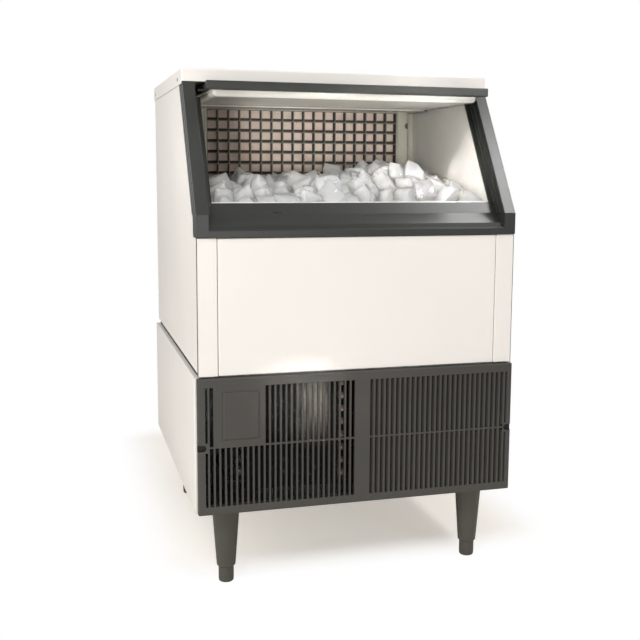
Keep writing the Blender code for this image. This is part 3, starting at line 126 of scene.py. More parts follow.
@dataclass
class Coat:
    """A material while it is being dressed.

    Attributes:
        tree: Its node tree.
        shader: Its principled shader.
        place: Object coordinates, in metres.
    """

    tree: NodeTree
    shader: Node
    place: NodeSocket

    def link(self, value: NodeSocket, name: str) -> None:
        """Links a value to one of the shader's inputs."""
        self.tree.links.new(value, self.shader.inputs[name])

    def noise(self, size: float, detail: float, place: NodeSocket | None = None) -> NodeSocket:
        """Adds a noise whose lumps have a real size.

        Args:
            size: The lumps' size in metres.
            detail: Octaves of finer noise on top.
            place: The coordinates that it reads, where they aren't the coat's own.

        Returns:
            The noise, from 0 to 1.
        """
        read = self.place if place is None else place
        made = add_node(self.tree, "TexNoise", {"Vector": read, "Scale": 0.5 / size, "Detail": detail})
        return made.outputs["Fac"]

    def tone(self, pattern: NodeSocket, *stops: tuple[float, str]) -> None:
        """Colours the coat along a pattern, by positions and hex colours from low to high."""
        made = add_node(self.tree, "ValToRGB", {"Fac": pattern}, stops)
        self.link(made.outputs["Color"], "Base Color")

    def recolour(self, where: NodeSocket, colour: str) -> None:
        """Gives a coat that has its plain colour another one in places.

        Args:
            where: A mask that is 1 there.
            colour: The other colour as sRGB hex.
        """
        plain = self.shader.inputs["Base Color"].links[0].from_socket
        mix = add_node(self.tree, "Mix", {"Factor": where, 6: plain, 7: linear(colour)}, data_type="RGBA")
        self.link(mix.outputs[2], "Base Color")

    def gloss(self, pattern: NodeSocket, low: float, high: float) -> None:
        """Varies the roughness along a pattern, from its value for 0 to its value for 1."""
        made = add_node(self.tree, "MapRange", {"Value": pattern, "To Min": low, "To Max": high})
        self.link(made.outputs["Result"], "Roughness")

    def raise_grain(self, size: float, height: float, detail: float = 2.0) -> None:
        """Adds a fine relief of a size and a height in metres."""
        bump = add_node(self.tree, "Bump", {"Height": self.noise(size, detail), "Distance": height})
        self.link(bump.outputs["Normal"], "Normal")

    def beyond(self, edge: float) -> NodeSocket:
        """Masks what lies farther out than an edge.

        Args:
            edge: Its distance to the left and right of the middle.

        Returns:
            1 beyond the edge and 0 within it.
        """
        across = add_node(self.tree, "SeparateXYZ", {"Vector": self.place}).outputs["X"]
        out = add_node(self.tree, "Math", {0: across}, operation="ABSOLUTE").outputs[0]
        return add_node(self.tree, "Math", {0: out, 1: edge}, operation="GREATER_THAN").outputs[0]


@dataclass(frozen=True)
class Finish:
    """A surface finish, whose material is built once and shared by all the pieces that have it.

    Attributes:
        name: The material's name, after what the real surface is.
        colour: Its main colour.
        second: The colour that its mottling goes towards.
        roughness: The middle of its roughness.
        metallic: 1 for bare metal.
        grain: Size in metres of its fine relief.
        relief: Height in metres of that relief.
        mottle: Size in metres of its soft colour drifts.
        shine: Its specular level: 0.5 is a clean smooth plastic, and less is a dull or dusty skin.
        uneven: The share by which its roughness drifts up and down.
    """

    name: str
    colour: str
    second: str
    roughness: float
    metallic: float = 0.0
    grain: float = 0.0010
    relief: float = 0.00002
    mottle: float = 0.120
    shine: float = 0.5
    uneven: float = 0.14

    def material(self) -> Material:
        """Builds the material, or gives the one built before."""
        made = bpy.data.materials.get(self.name)
        if made:
            return made
        made = bpy.data.materials.new(self.name)
        made.use_nodes = True
        tree = made.node_tree
        shader = tree.nodes["Principled BSDF"]
        shader.inputs["Metallic"].default_value = self.metallic
        shader.inputs["Specular IOR Level"].default_value = self.shine
        self.dress(Coat(tree, shader, add_node(tree, "TexCoord").outputs["Object"]))
        return made

    def dress(self, coat: Coat) -> None:
        """Gives a coat the finish's colours and surface.

        Args:
            coat: The coat to dress.
        """
        drift = coat.noise(self.mottle, 3.0)
        coat.tone(drift, (0.3, self.second), (0.7, self.colour))
        self.surface(coat, drift)

    def surface(self, coat: Coat, drift: NodeSocket) -> None:
        """Gives a coat its fine relief, and a roughness that drifts with a pattern."""
        coat.gloss(drift, self.roughness * (1 - self.uneven), self.roughness * (1 + self.uneven))
        coat.raise_grain(self.grain, self.relief)


@dataclass(frozen=True)
class BakedEnamel(Finish):
    """Powder-coated sheet steel: an even warm white with a faint orange peel and a little dust low down."""

    dust: str = "cfc6b8"
    dust_top: float = 0.22
    dust_full: float = 0.16
    dust_most: float = 0.35
    scuff: float = 0.018

    def dress(self, coat: Coat) -> None:
        """See Finish.dress."""
        drift = coat.noise(self.mottle, 3.0)
        coat.tone(drift, (0.25, self.second), (0.75, self.colour))
        height = add_node(coat.tree, "SeparateXYZ", {"Vector": coat.place}).outputs["Z"]
        fall = {"Value": height, "From Min": self.dust_top, "From Max": self.dust_full, "To Max": self.dust_most}
        low_down = add_node(coat.tree, "MapRange", fall).outputs["Result"]
        darkened = {0: low_down, 1: coat.noise(self.scuff, 6.0)}
        coat.recolour(add_node(coat.tree, "Math", darkened, operation="MULTIPLY").outputs[0], self.dust)
        self.surface(coat, drift)


@dataclass(frozen=True)
class EdgedEnamel(BakedEnamel):
    """The same enamel on a corner post, whose outer edge is dark where it meets the side panel."""

    edge: float = 0.3044

    def dress(self, coat: Coat) -> None:
        """See Finish.dress."""
        super().dress(coat)
        coat.recolour(coat.beyond(self.edge), "5d5852")


@dataclass(frozen=True)
class GapShadedFoam(Finish):
    """Cast foam whose sides are painted near black, as the shade in the gap between the side panels."""

    edge: float = 0.3000

    def dress(self, coat: Coat) -> None:
        """See Finish.dress."""
        super().dress(coat)
        # Painted shade: the foam's sides are coloured near black for the shadowed gap between the side panels.
        coat.recolour(coat.beyond(self.edge), "1d1b19")


@dataclass(frozen=True)
class MouldedPlastic(Finish):
    """Injection-moulded plastic: a fine spark texture, and drawn-out smudges that change its gloss."""

    smudge: float = 0.006
    drawn_out: tuple[float, float, float] = (0.25, 1.0, 1.0)
    uneven: float = 0.05

    def dress(self, coat: Coat) -> None:
        """See Finish.dress."""
        coat.tone(coat.noise(self.mottle, 4.0), (0.3, self.second), (0.7, self.colour))
        drawn = add_node(coat.tree, "Mapping", {"Vector": coat.place, "Scale": self.drawn_out})
        self.surface(coat, coat.noise(self.smudge, 5.0, drawn.outputs["Vector"]))


@dataclass(frozen=True)
class PocketedPlastic(MouldedPlastic):
    """The grille's plastic, with the two screw pockets behind its face painted black as shade."""

    pocket: tuple[float, float, float] = (0.2985, 0.0, 0.2787)
    pocket_radius: float = 0.0105
    face: float = -0.3328

    def dress(self, coat: Coat) -> None:
        """See Finish.dress."""
        super().dress(coat)
        tree = coat.tree
        axes = add_node(tree, "SeparateXYZ", {"Vector": coat.place}).outputs
        side = add_node(tree, "Math", {0: axes["X"]}, operation="ABSOLUTE").outputs[0]
        flat = add_node(tree, "CombineXYZ", {"X": side, "Z": axes["Z"]}).outputs[0]
        away = add_node(tree, "VectorMath", {0: flat, 1: self.pocket}, operation="DISTANCE").outputs["Value"]
        near = add_node(tree, "Math", {0: away, 1: self.pocket_radius}, operation="LESS_THAN").outputs[0]
        sunk = add_node(tree, "Math", {0: axes["Y"], 1: self.face}, operation="GREATER_THAN").outputs[0]
        pocket_shade_mask = add_node(tree, "Math", {0: near, 1: sunk}, operation="MULTIPLY").outputs[0]
        # Painted shade: the sunken screw pockets are coloured near black.
        coat.recolour(pocket_shade_mask, "141412")


@dataclass(frozen=True)
class SpangledZinc(Finish):
    """Hot-dip galvanised sheet: zinc crystals 8 to 12 mm across, each with its own grey and gloss."""

    spangle: float = 0.010

    def dress(self, coat: Coat) -> None:
        """See Finish.dress."""
        cells = add_node(coat.tree, "TexVoronoi", {"Vector": coat.place, "Scale": 1 / self.spangle}, feature="F1")
        grey = add_node(coat.tree, "SeparateColor", {"Color": cells.outputs["Color"]}).outputs["Red"]
        coat.tone(grey, (0.0, self.second), (1.0, self.colour))
        self.surface(coat, grey)


@dataclass(frozen=True)
class DrawnTube(Finish):
    """Soft-drawn copper: browner in clouds where it has oxidised, and painted dark left of a given place, as the
    shade deep behind the grille.
    """

    mottle: float = 0.020
    shade_left_of: float = -0.10

    def dress(self, coat: Coat) -> None:
        """See Finish.dress."""
        clouds = coat.noise(self.mottle, 5.0)
        coat.tone(clouds, (0.35, self.second), (0.58, self.colour))
        across = add_node(coat.tree, "SeparateXYZ", {"Vector": coat.place}).outputs["X"]
        # Painted shade: the tube is coloured dark left of the given place, for the dark behind the grille.
        darkened = add_node(coat.tree, "Math", {0: across, 1: self.shade_left_of}, operation="LESS_THAN")
        coat.recolour(darkened.outputs[0], "37302b")
        self.surface(coat, clouds)


@dataclass(frozen=True)
class PlatedGrid(Finish):
    """The freezing plate: nickel over copper, with a pale back, dark brown walls painted darker with depth as the
    shade in each cell, and front edges painted light as a highlight.
    """

    mottle: float = 0.012
    front: float = 0.142
    deep: float = 0.020
    back_from: float = 0.985
    spot_spacing: float = 0.011
    spot_share: float = 0.085

    def dress(self, coat: Coat) -> None:
        """See Finish.dress."""
        tree = coat.tree
        inwards = add_node(tree, "SeparateXYZ", {"Vector": coat.place}).outputs["Y"]
        run = {"Value": inwards, "From Min": self.front, "From Max": self.front + self.deep}
        depth = add_node(tree, "MapRange", run).outputs["Result"]
        # Painted shade and highlight: each wall is light at its front edge and goes dark brown deeper in the cell.
        walls = ((0.0, "8f8677"), (0.04, "5a4e40"), (0.10, "2a1f16"), (0.86, "32251a"), (self.back_from, "c4b29f"))
        wall = add_node(tree, "ValToRGB", {"Fac": depth}, walls).outputs["Color"]
        blotches = coat.noise(self.mottle, 4.0)
        backs = ((0.30, "ead0bf"), (0.52, self.colour), (0.75, self.second))
        back = add_node(tree, "ValToRGB", {"Fac": blotches}, backs).outputs["Color"]
        is_back = add_node(tree, "Math", {0: depth, 1: self.back_from}, operation="GREATER_THAN").outputs[0]
        mix = add_node(tree, "Mix", {"Factor": is_back, 6: wall, 7: back}, data_type="RGBA")
        coat.link(mix.outputs[2], "Base Color")
        spots = add_node(tree, "TexVoronoi", {"Vector": coat.place, "Scale": 1 / self.spot_spacing}, feature="F1")
        speck = {0: spots.outputs["Distance"], 1: self.spot_share}
        coat.recolour(add_node(tree, "Math", speck, operation="LESS_THAN").outputs[0], "6d5a4a")
        self.surface(coat, blotches)


@dataclass(frozen=True)
class ClearIce(Finish):
    """Wet ice, half melted together: glassy skins over cores clouded by air, which scatter the light softly."""

    mottle: float = 0.020
    cloudy_roughness: float = 0.38
    clear: float = 0.45
    depth: float = 0.030

    def dress(self, coat: Coat) -> None:
        """See Finish.dress."""
        values = coat.shader.inputs
        values["IOR"].default_value = 1.31
        values["Transmission Weight"].default_value = self.clear
        values["Subsurface Weight"].default_value = 1.0
        values["Subsurface Radius"].default_value = (1.0, 0.95, 0.9)
        values["Subsurface Scale"].default_value = self.depth
        cloud = coat.noise(self.mottle, 4.0)
        coat.tone(cloud, (0.30, self.second), (0.60, self.colour))
        coat.gloss(cloud, self.roughness, self.cloudy_roughness)
        coat.raise_grain(self.grain, self.relief, 3.0)


@dataclass(frozen=True)
class SoftTube(Finish):
    """Milky vinyl hose: light passes through it, blurred."""

    clear: float = 0.5

    def dress(self, coat: Coat) -> None:
        """See Finish.dress."""
        coat.shader.inputs["Transmission Weight"].default_value = self.clear
        super().dress(coat)


@dataclass(frozen=True)
class PolishedPlug(Finish):
    """The door's inner plug: polished white, with the guide pins that stand out of its sides coloured dark grey and
    duller.
    """

    pins_from: float = 0.2640
    pin_roughness: float = 0.4

    def dress(self, coat: Coat) -> None:
        """See Finish.dress."""
        coat.tone(coat.noise(self.mottle, 3.0), (0.3, self.second), (0.7, self.colour))
        pins = coat.beyond(self.pins_from)
        coat.recolour(pins, "2b2b29")
        coat.gloss(pins, self.roughness, self.pin_roughness)
        coat.raise_grain(self.grain, self.relief)


@dataclass(frozen=True)
class FinFoil(Finish):
    """Condenser fins: bare foil painted near black as the shade behind the grille, with a band of painted highlight
    streaks where the light catches them.

    Attributes:
        glint_x: Where the band of painted highlight starts and is full, and where it is full and ends again, from the
            left.
        glint_z: Where the band of painted highlight starts and is full, from below.
        glint_roughness: The foil's roughness in the painted highlight band.
        metal: How metallic the foil looks outside and inside the painted highlight band.
        streak: Width in metres of the painted highlight streaks.
        speck: Size in metres of the light grey flecks on the dark foil.
    """

    glint_x: tuple[float, ...] = (-0.121, -0.096, -0.062, -0.052)
    glint_z: tuple[float, float] = (0.255, 0.345)
    glint_roughness: float = 0.36
    metal: tuple[float, float] = (0.15, 0.55)
    streak: float = 0.0026
    speck: float = 0.0035

    def dress(self, coat: Coat) -> None:
        """See Finish.dress."""
        tree = coat.tree
        axes = add_node(tree, "SeparateXYZ", {"Vector": coat.place}).outputs
        start, full, still_full, end = self.glint_x
        runs = (("X", start, full), ("X", end, still_full), ("Z", *self.glint_z))
        inner, outer, above = (
            add_node(tree, "MapRange", {"Value": axes[name], "From Min": none, "From Max": all_of}).outputs[0]
            for name, none, all_of in runs
        )
        band = add_node(tree, "Math", {0: inner, 1: outer}, operation="MULTIPLY").outputs[0]
        glint_band = add_node(tree, "Math", {0: band, 1: above}, operation="MULTIPLY").outputs[0]
        drawn = add_node(tree, "Mapping", {"Vector": coat.place, "Scale": (1.0, 1.0, 0.12)}).outputs["Vector"]
        streaks = coat.noise(self.streak, 3.0, drawn)
        # Painted highlight: bright streaks for the light that the fins catch through the slots.
        bright = add_node(tree, "ValToRGB", {"Fac": streaks}, ((0.36, "6f6b64"), (0.50, "fff5e8"))).outputs["Color"]
        flecks = ((0.30, self.second), (0.66, self.colour), (0.74, "8f918f"))
        # Painted shade: the foil is coloured near black for the dark behind the grille, with light grey flecks.
        darkened = add_node(tree, "ValToRGB", {"Fac": coat.noise(self.speck, 1.0)}, flecks).outputs["Color"]
        mix = add_node(tree, "Mix", {"Factor": glint_band, 6: darkened, 7: bright}, data_type="RGBA")
        coat.link(mix.outputs[2], "Base Color")
        coat.gloss(glint_band, self.roughness, self.glint_roughness)
        metal = add_node(tree, "MapRange", {"Value": glint_band, "To Min": self.metal[0], "To Max": self.metal[1]})
        coat.link(metal.outputs["Result"], "Metallic")


class Stock(Enum):
    """The finishes of this machine, by the record's material slot or by where they are."""

    # Powder coat is even and half glossy: a soft highlight, and orange peel about 2 mm across.
    WHITE_PAINT = BakedEnamel(
        "powder_coated_steel", "f4efe9", "f0ebe5", 0.42, grain=0.0020, relief=0.00001, shine=0.15
    )
    POST_PAINT = EdgedEnamel(
        "coated_corner_post", "f4efe9", "f0ebe5", 0.42, grain=0.0020, relief=0.00001, shine=0.15
    )
    # Thermoformed ABS liner: glossier than the paint, so that it mirrors what is in front of it at a low angle.
    LINER_ABS = Finish("thermoformed_white_abs", "f3f0ea", "ebe8e1", 0.16, grain=0.0030)
    # The door's plug is the same plastic, polished: seen edge-on under the top, it mirrors the freezing plate.
    PLUG_ABS = PolishedPlug("polished_white_abs", "f6f3ec", "f0ece4", 0.05, grain=0.0300)
    # Moulded trim round the opening: satin, nearly black green-grey, smudged along its length.
    TRIM_ABS = MouldedPlastic(
        "moulded_dark_abs", "373835", "2f302d", 0.28, grain=0.0008, relief=0.000005, shine=0.45
    )
    # The grille's plastic is a little browner and paler, and the legs' is paler still and duller.
    GRILLE_ABS = PocketedPlastic(
        "moulded_grille_abs", "4b4945", "43413d", 0.42, grain=0.0008, relief=0.00003, shine=0.35
    )
    LEG_NYLON = MouldedPlastic(
        "moulded_leg_nylon", "55524a", "494740", 0.44, grain=0.0009, relief=0.00003, shine=0.35
    )
    # Inner mouldings: plain black, ivory gone yellow in patches, and the waxy off-white of uncoloured nylon.
    BLACK_PLASTIC = MouldedPlastic("moulded_black_plastic", "2b2b2b", "222222", 0.50)
    IVORY_PLASTIC = MouldedPlastic("aged_ivory_polystyrene", "d2cec1", "c0bbab", 0.42, mottle=0.040)
    NATURAL_NYLON = Finish("natural_nylon", "dedbd1", "d2cec2", 0.42)
    # Foam cast in place is cream and dull, with a skin that is rough to the touch.
    CAST_FOAM = Finish("cast_urethane_foam", "e8dfc2", "dacfab", 0.90, grain=0.0025, relief=0.00040)
    # The insulation's foam, with its sides painted near black as the shade in the gap between the side panels.
    TAPED_FOAM = GapShadedFoam("urethane_foam_painted_gap_shade", "e8dfc2", "dacfab", 0.90, grain=0.0025, relief=0.00040)
    # Bare metals: spangled sheet, fin foil painted dark as shade with painted highlight streaks, and zinc plate with
    # a cool even shine.
    ZINC_SHEET = SpangledZinc("galvanised_sheet", "c4c8ca", "9ea3a6", 0.42, 1.0)
    FIN_FOIL = FinFoil("fin_foil_painted_shade_and_glints", "33332f", "1b1b19", 0.60)
    ZINC_PLATE = Finish("zinc_plated_steel", "b9bbbc", "9c9ea0", 0.30, 1.0, mottle=0.010)
    # The freezing plate's clips are dull grey, and the screws in the grille's pockets are blackened.
    DULL_CLIP = Finish("dull_grey_screw", "6d6c63", "5b5a52", 0.50, mottle=0.006)
    BLACK_SCREW = Finish("blackened_screw", "232321", "171716", 0.50, mottle=0.006)
    # The condenser's return bends are pale copper with a painted highlight, where they catch the light; the other
    # tubes are copper painted darker, as the shade that they lie in.
    BEND_COPPER = DrawnTube("copper_bends_painted_highlight", "e3c8b6", "a98a78", 0.36, 0.35, grain=0.0015)
    COPPER = DrawnTube("drawn_copper_painted_shade", "4a3c34", "2d2623", 0.55, 0.3, grain=0.0015)
    # Plating that has worn dull: hardly any highlight, so its colours carry the look.
    PLATE = PlatedGrid("nickel_plated_copper", "eadbcc", "dacbba", 0.50, shine=0.1)
    # Thick enamel on the compressor's pressed shell: black, with a soft broad highlight.
    SHELL_ENAMEL = Finish("black_compressor_enamel", "1f1f21", "17171a", 0.34, grain=0.0020, relief=0.00005)
    # Ice is bright and milky, with sharp glints on its wet edges.
    ICE = ClearIce("clouded_wet_ice", "fffefb", "f7f4ef", 0.10, grain=0.006, relief=0.0010)
    HOSE = SoftTube("milky_vinyl", "e4e7e6", "d3d8d6", 0.22)


NODE_STOCK = {
    "white_paint": Stock.WHITE_PAINT,
    "white_plastic": Stock.LINER_ABS,
    "ivory_plastic": Stock.IVORY_PLASTIC,
    "dark_abs": Stock.TRIM_ABS,
    "grille_plastic": Stock.GRILLE_ABS,
    "leg_plastic": Stock.LEG_NYLON,
    "black_plastic": Stock.BLACK_PLASTIC,
    "black_enamel": Stock.SHELL_ENAMEL,
    "clear_plastic": Stock.HOSE,
    "nylon": Stock.NATURAL_NYLON,
    "foam": Stock.CAST_FOAM,
    "ice": Stock.ICE,
    "galvanised": Stock.ZINC_SHEET,
    "fin_stock": Stock.FIN_FOIL,
    "steel": Stock.ZINC_PLATE,
    "copper": Stock.COPPER,
}


class Bench:
    """The modelling operators, with the selection kept clean between them."""

    @staticmethod
    def deselect() -> None:
        """Leaves no object selected."""
        bpy.ops.object.select_all(action="DESELECT")

    @staticmethod
    def only(piece: Object) -> None:
        """Makes one object the selected and active one."""
        Bench.deselect()
        piece.select_set(True)
        bpy.context.view_layer.objects.active = piece

    @staticmethod
    def settle(piece: Object) -> Object:
        """Puts an object's place, turn and size into its mesh."""
        Bench.only(piece)
        bpy.ops.object.transform_apply(location=True, rotation=True, scale=True)
        return piece

    @staticmethod
    def box(name: str, low: Vector, high: Vector) -> Object:
        """Adds a box between two corners.

        Args:
            name: The new object's name.
            low: Its lowest corner.
            high: Its highest corner.

        Returns:
            The box, with its place in its mesh.
        """
        Bench.deselect()
        bpy.ops.mesh.primitive_cube_add(size=1.0, location=(low + high) / 2)
        piece = bpy.context.object
        piece.name = piece.data.name = name
        piece.scale = high - low
        return Bench.settle(piece)

    @staticmethod
    def drum(name: str, radius: float, start: Vector, end: Vector, sides: int) -> Object:
        """Adds a round bar between two points.

        Args:
            name: The new object's name.
            radius: Its radius.
            start: The middle of its first end.
            end: The middle of its other end.
            sides: Its number of sides.

        Returns:
            The bar, with its place in its mesh.
        """
        Bench.deselect()
        line = end - start
        bpy.ops.mesh.primitive_cylinder_add(vertices=sides, radius=radius, depth=line.length)
        piece = bpy.context.object
        piece.name = piece.data.name = name
        piece.rotation_euler = line.to_track_quat("Z", "Y").to_euler()
        piece.location = (start + end) / 2
        return Bench.settle(piece)

    @staticmethod
    @contextlib.contextmanager
    def editing(piece: Object, select: str = "FACE") -> Iterator[bmesh.types.BMesh]:
        """Opens a mesh for editing with nothing selected, and closes it again.

        Args:
            piece: The object to edit.
            select: The kind of element that is selected: VERT, EDGE or FACE.

        Yields:
            The mesh that is being edited.
        """
        Bench.only(piece)
        bpy.ops.object.mode_set(mode="EDIT")
        bpy.ops.mesh.select_mode(type=select)
        bpy.ops.mesh.select_all(action="DESELECT")
        yield bmesh.from_edit_mesh(piece.data)
        bpy.ops.object.mode_set(mode="OBJECT")

    @staticmethod
    def pick(piece: Object, shape: bmesh.types.BMesh, elements: Iterable) -> None:
        """Selects elements of the mesh that is being edited."""
        for element in elements:
            element.select_set(True)
        shape.select_flush_mode()
        bmesh.update_edit_mesh(piece.data)

    @staticmethod
    def facing(shape: bmesh.types.BMesh, way: Vector) -> list:
        """The faces that look one way."""
        return [f for f in shape.faces if f.normal.dot(way) > 0.95]

    @staticmethod
    def modify(piece: Object, kind: str, **settings: object) -> Object:
        """Adds a modifier to an object and applies it.

        Args:
            piece: The object.
            kind: The modifier's type.
            **settings: Its settings.

        Returns:
            The object.
        """
        Bench.only(piece)
        made = piece.modifiers.new(kind.lower(), kind)
        for name, value in settings.items():
            setattr(made, name, value)
        bpy.ops.object.modifier_apply(modifier=made.name)
        return piece

    @staticmethod
    def subtract(piece: Object, cutter: Object) -> Object:
        """Cuts one object out of another and removes the cutter."""
        Bench.modify(piece, "BOOLEAN", operation="DIFFERENCE", solver="EXACT", object=cutter)
        bpy.data.objects.remove(cutter, do_unlink=True)
        return piece

    @staticmethod
    def copy(piece: Object, name: str, move: Matrix) -> Object:
        """Copies an object with a mesh of its own, moved within it."""
        made = piece.copy()
        made.data = piece.data.copy()
        made.name = made.data.name = name
        made.data.transform(move)
        bpy.context.scene.collection.objects.link(made)
        return made

    @staticmethod
    def join(name: str, pieces: list[Object]) -> Object:
        """Joins objects into the first one of them."""
        Bench.only(pieces[0])
        for piece in pieces:
            piece.select_set(True)
        bpy.ops.object.join()
        joined = bpy.context.object
        joined.name = joined.data.name = name
        return joined

    @staticmethod
    def round_off(piece: Object, angle: float) -> Object:
        """Shades an object smooth apart from its true edges."""
        Bench.only(piece)
        bpy.ops.object.shade_smooth_by_angle(angle=math.radians(angle))
        return piece

    @staticmethod
    def hand_in(piece: Object, stock: Stock, slot: str, body: str = BODY) -> Object:
        """Gives a finished piece its finish and its body.

        Args:
            piece: The piece.
            stock: Its finish.
            slot: The record's material slot; it is not used.
            body: The CAD body that it rides on.

        Returns:
            The piece.
        """
        piece.data.materials.clear()
        piece.data.materials.append(stock.value.material())
        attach(piece, body)
        log.info("%s: %d faces, %s", piece.name, len(piece.data.polygons), stock.value.name)
        return piece


@dataclass
class PackedNodes:
    """The nodes that keep their CAD shape, each with the finish of its material slot."""

    special: dict[str, Stock] = field(
        default_factory=lambda: {
            "evaporator_grid": Stock.PLATE,
            "door_plug": Stock.PLUG_ABS,
            "evaporator_canopy": Stock.PLUG_ABS,
            "condenser_coil": Stock.BEND_COPPER,
            "bin_insulation": Stock.TAPED_FOAM,
            "left_corner_post": Stock.POST_PAINT,
            "right_corner_post": Stock.POST_PAINT,
        }
    )

    def build(self) -> None:
        """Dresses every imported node."""
        slots = {part["node"]: part["material_slot"] for part in frame["record"]["subparts"]}
        for name, node in frame["nodes"].items():
            stock = self.special.get(name, NODE_STOCK[slots[name]])
            node.data.materials.clear()
            node.data.materials.append(stock.value.material())
        log.info("%d packed nodes dressed", len(slots))


class ScrewHead(Enum):
    """The screws that hold this machine together: radius, height and drive width of each head."""

    PANEL = (0.0042, 0.0020, 0.0011)
    GRILLE = (0.0040, 0.0018, 0.0011)
    TRIM = (0.0032, 0.0015, 0.0009)


@dataclass
class Screws:
    """Pan-head screws with a cross recess, set on the surfaces that they hold."""

    facing: Vector
    head: ScrewHead
    stock: Stock
    sunk: float = 0.0004

    def model(self) -> Object:
        """Models one screw head at the origin that looks along +z."""
        radius, height, drive = self.head.value
        head = Bench.drum("screw", radius, Vector((0, 0, -self.sunk)), Vector((0, 0, height)), 20)
        with Bench.editing(head, "EDGE") as shape:
            rim = [e for e in shape.edges if all(v.co.z > height * 0.9 for v in e.verts)]
            Bench.pick(head, shape, rim)
            bpy.ops.mesh.bevel(offset=height * 0.55, segments=3, affect="EDGES")
        arm, bottom = radius * 0.62, height * 0.45
        for turn in (0, 90):
            low, high = Vector((-arm, -drive / 2, bottom)), Vector((arm, drive / 2, height * 2))
            cutter = Bench.box("drive", low, high)
            cutter.data.transform(Matrix.Rotation(math.radians(turn), 4, "Z"))
            Bench.subtract(head, cutter)
        return Bench.round_off(head, 40)

    def place(self, name: str, spots: list[Vector], seed: int = 3) -> Object:
        """Sets one screw at each place, each with its recess turned its own way.

        Args:
            name: The name of the joined piece.
            spots: The places, in the row frame.
            seed: Starts the turns.

        Returns:
            All the screws as one piece.
        """
        chance = random.Random(seed)
        head = self.model()
        turn = self.facing.to_track_quat("Z", "Y").to_matrix().to_4x4()
        made = []
        for number, spot in enumerate(spots):
            spin = Matrix.Rotation(chance.uniform(0, math.pi), 4, "Z")
            made.append(Bench.copy(head, f"{name}_{number}", Matrix.Translation(spot) @ turn @ spin))
        bpy.data.objects.remove(head, do_unlink=True)
        return Bench.hand_in(Bench.join(name, made), self.stock, "steel")


@dataclass
class CabinetFixings:
    """The small screws on the cabinet's sides, grille and back, by their places in the cabinet's own frame."""

    cap_x: float = 0.308
    cap_z: float = 0.7946
    cap_y: tuple[float, ...] = (0.636, 0.215)
    grille: tuple[float, float, float] = (0.2985, 0.0093, 0.1263)
    upper_y: float = 0.668
    upper_x: tuple[float, ...] = (-0.294, 0.294)
    upper_z: tuple[float, ...] = (0.285, 0.450, 0.620, 0.770)
    service_y: float = 0.6675
    service_x: tuple[float, ...] = (-0.288, -0.10, 0.10, 0.288)
    service_z: tuple[float, ...] = (0.014, 0.246)

    def build(self) -> None:
        """Sets every row of screws."""
        zinc = Stock.ZINC_PLATE
        for side, word in ((-1, "left"), (1, "right")):
            cap = Screws(Vector((side, 0, 0)), ScrewHead.TRIM, zinc)
            cap.place(f"{word}_top_screws", [cabinet(side * self.cap_x, y, self.cap_z) for y in self.cap_y])
        across, y, z = self.grille
        grille = Screws(Vector((0, -1, 0)), ScrewHead.GRILLE, Stock.BLACK_SCREW)
        grille.place("grille_screws", [cabinet(side * across, y, z) for side in (-1, 1)])
        back = Screws(Vector((0, 1, 0)), ScrewHead.PANEL, zinc)
        spots = [cabinet(x, self.upper_y, z) for x in self.upper_x for z in self.upper_z]
        back.place("rear_upper_screws", spots)
        spots = [cabinet(x, self.service_y, z) for x in self.service_x for z in self.service_z]
        back.place("rear_service_screws", spots)


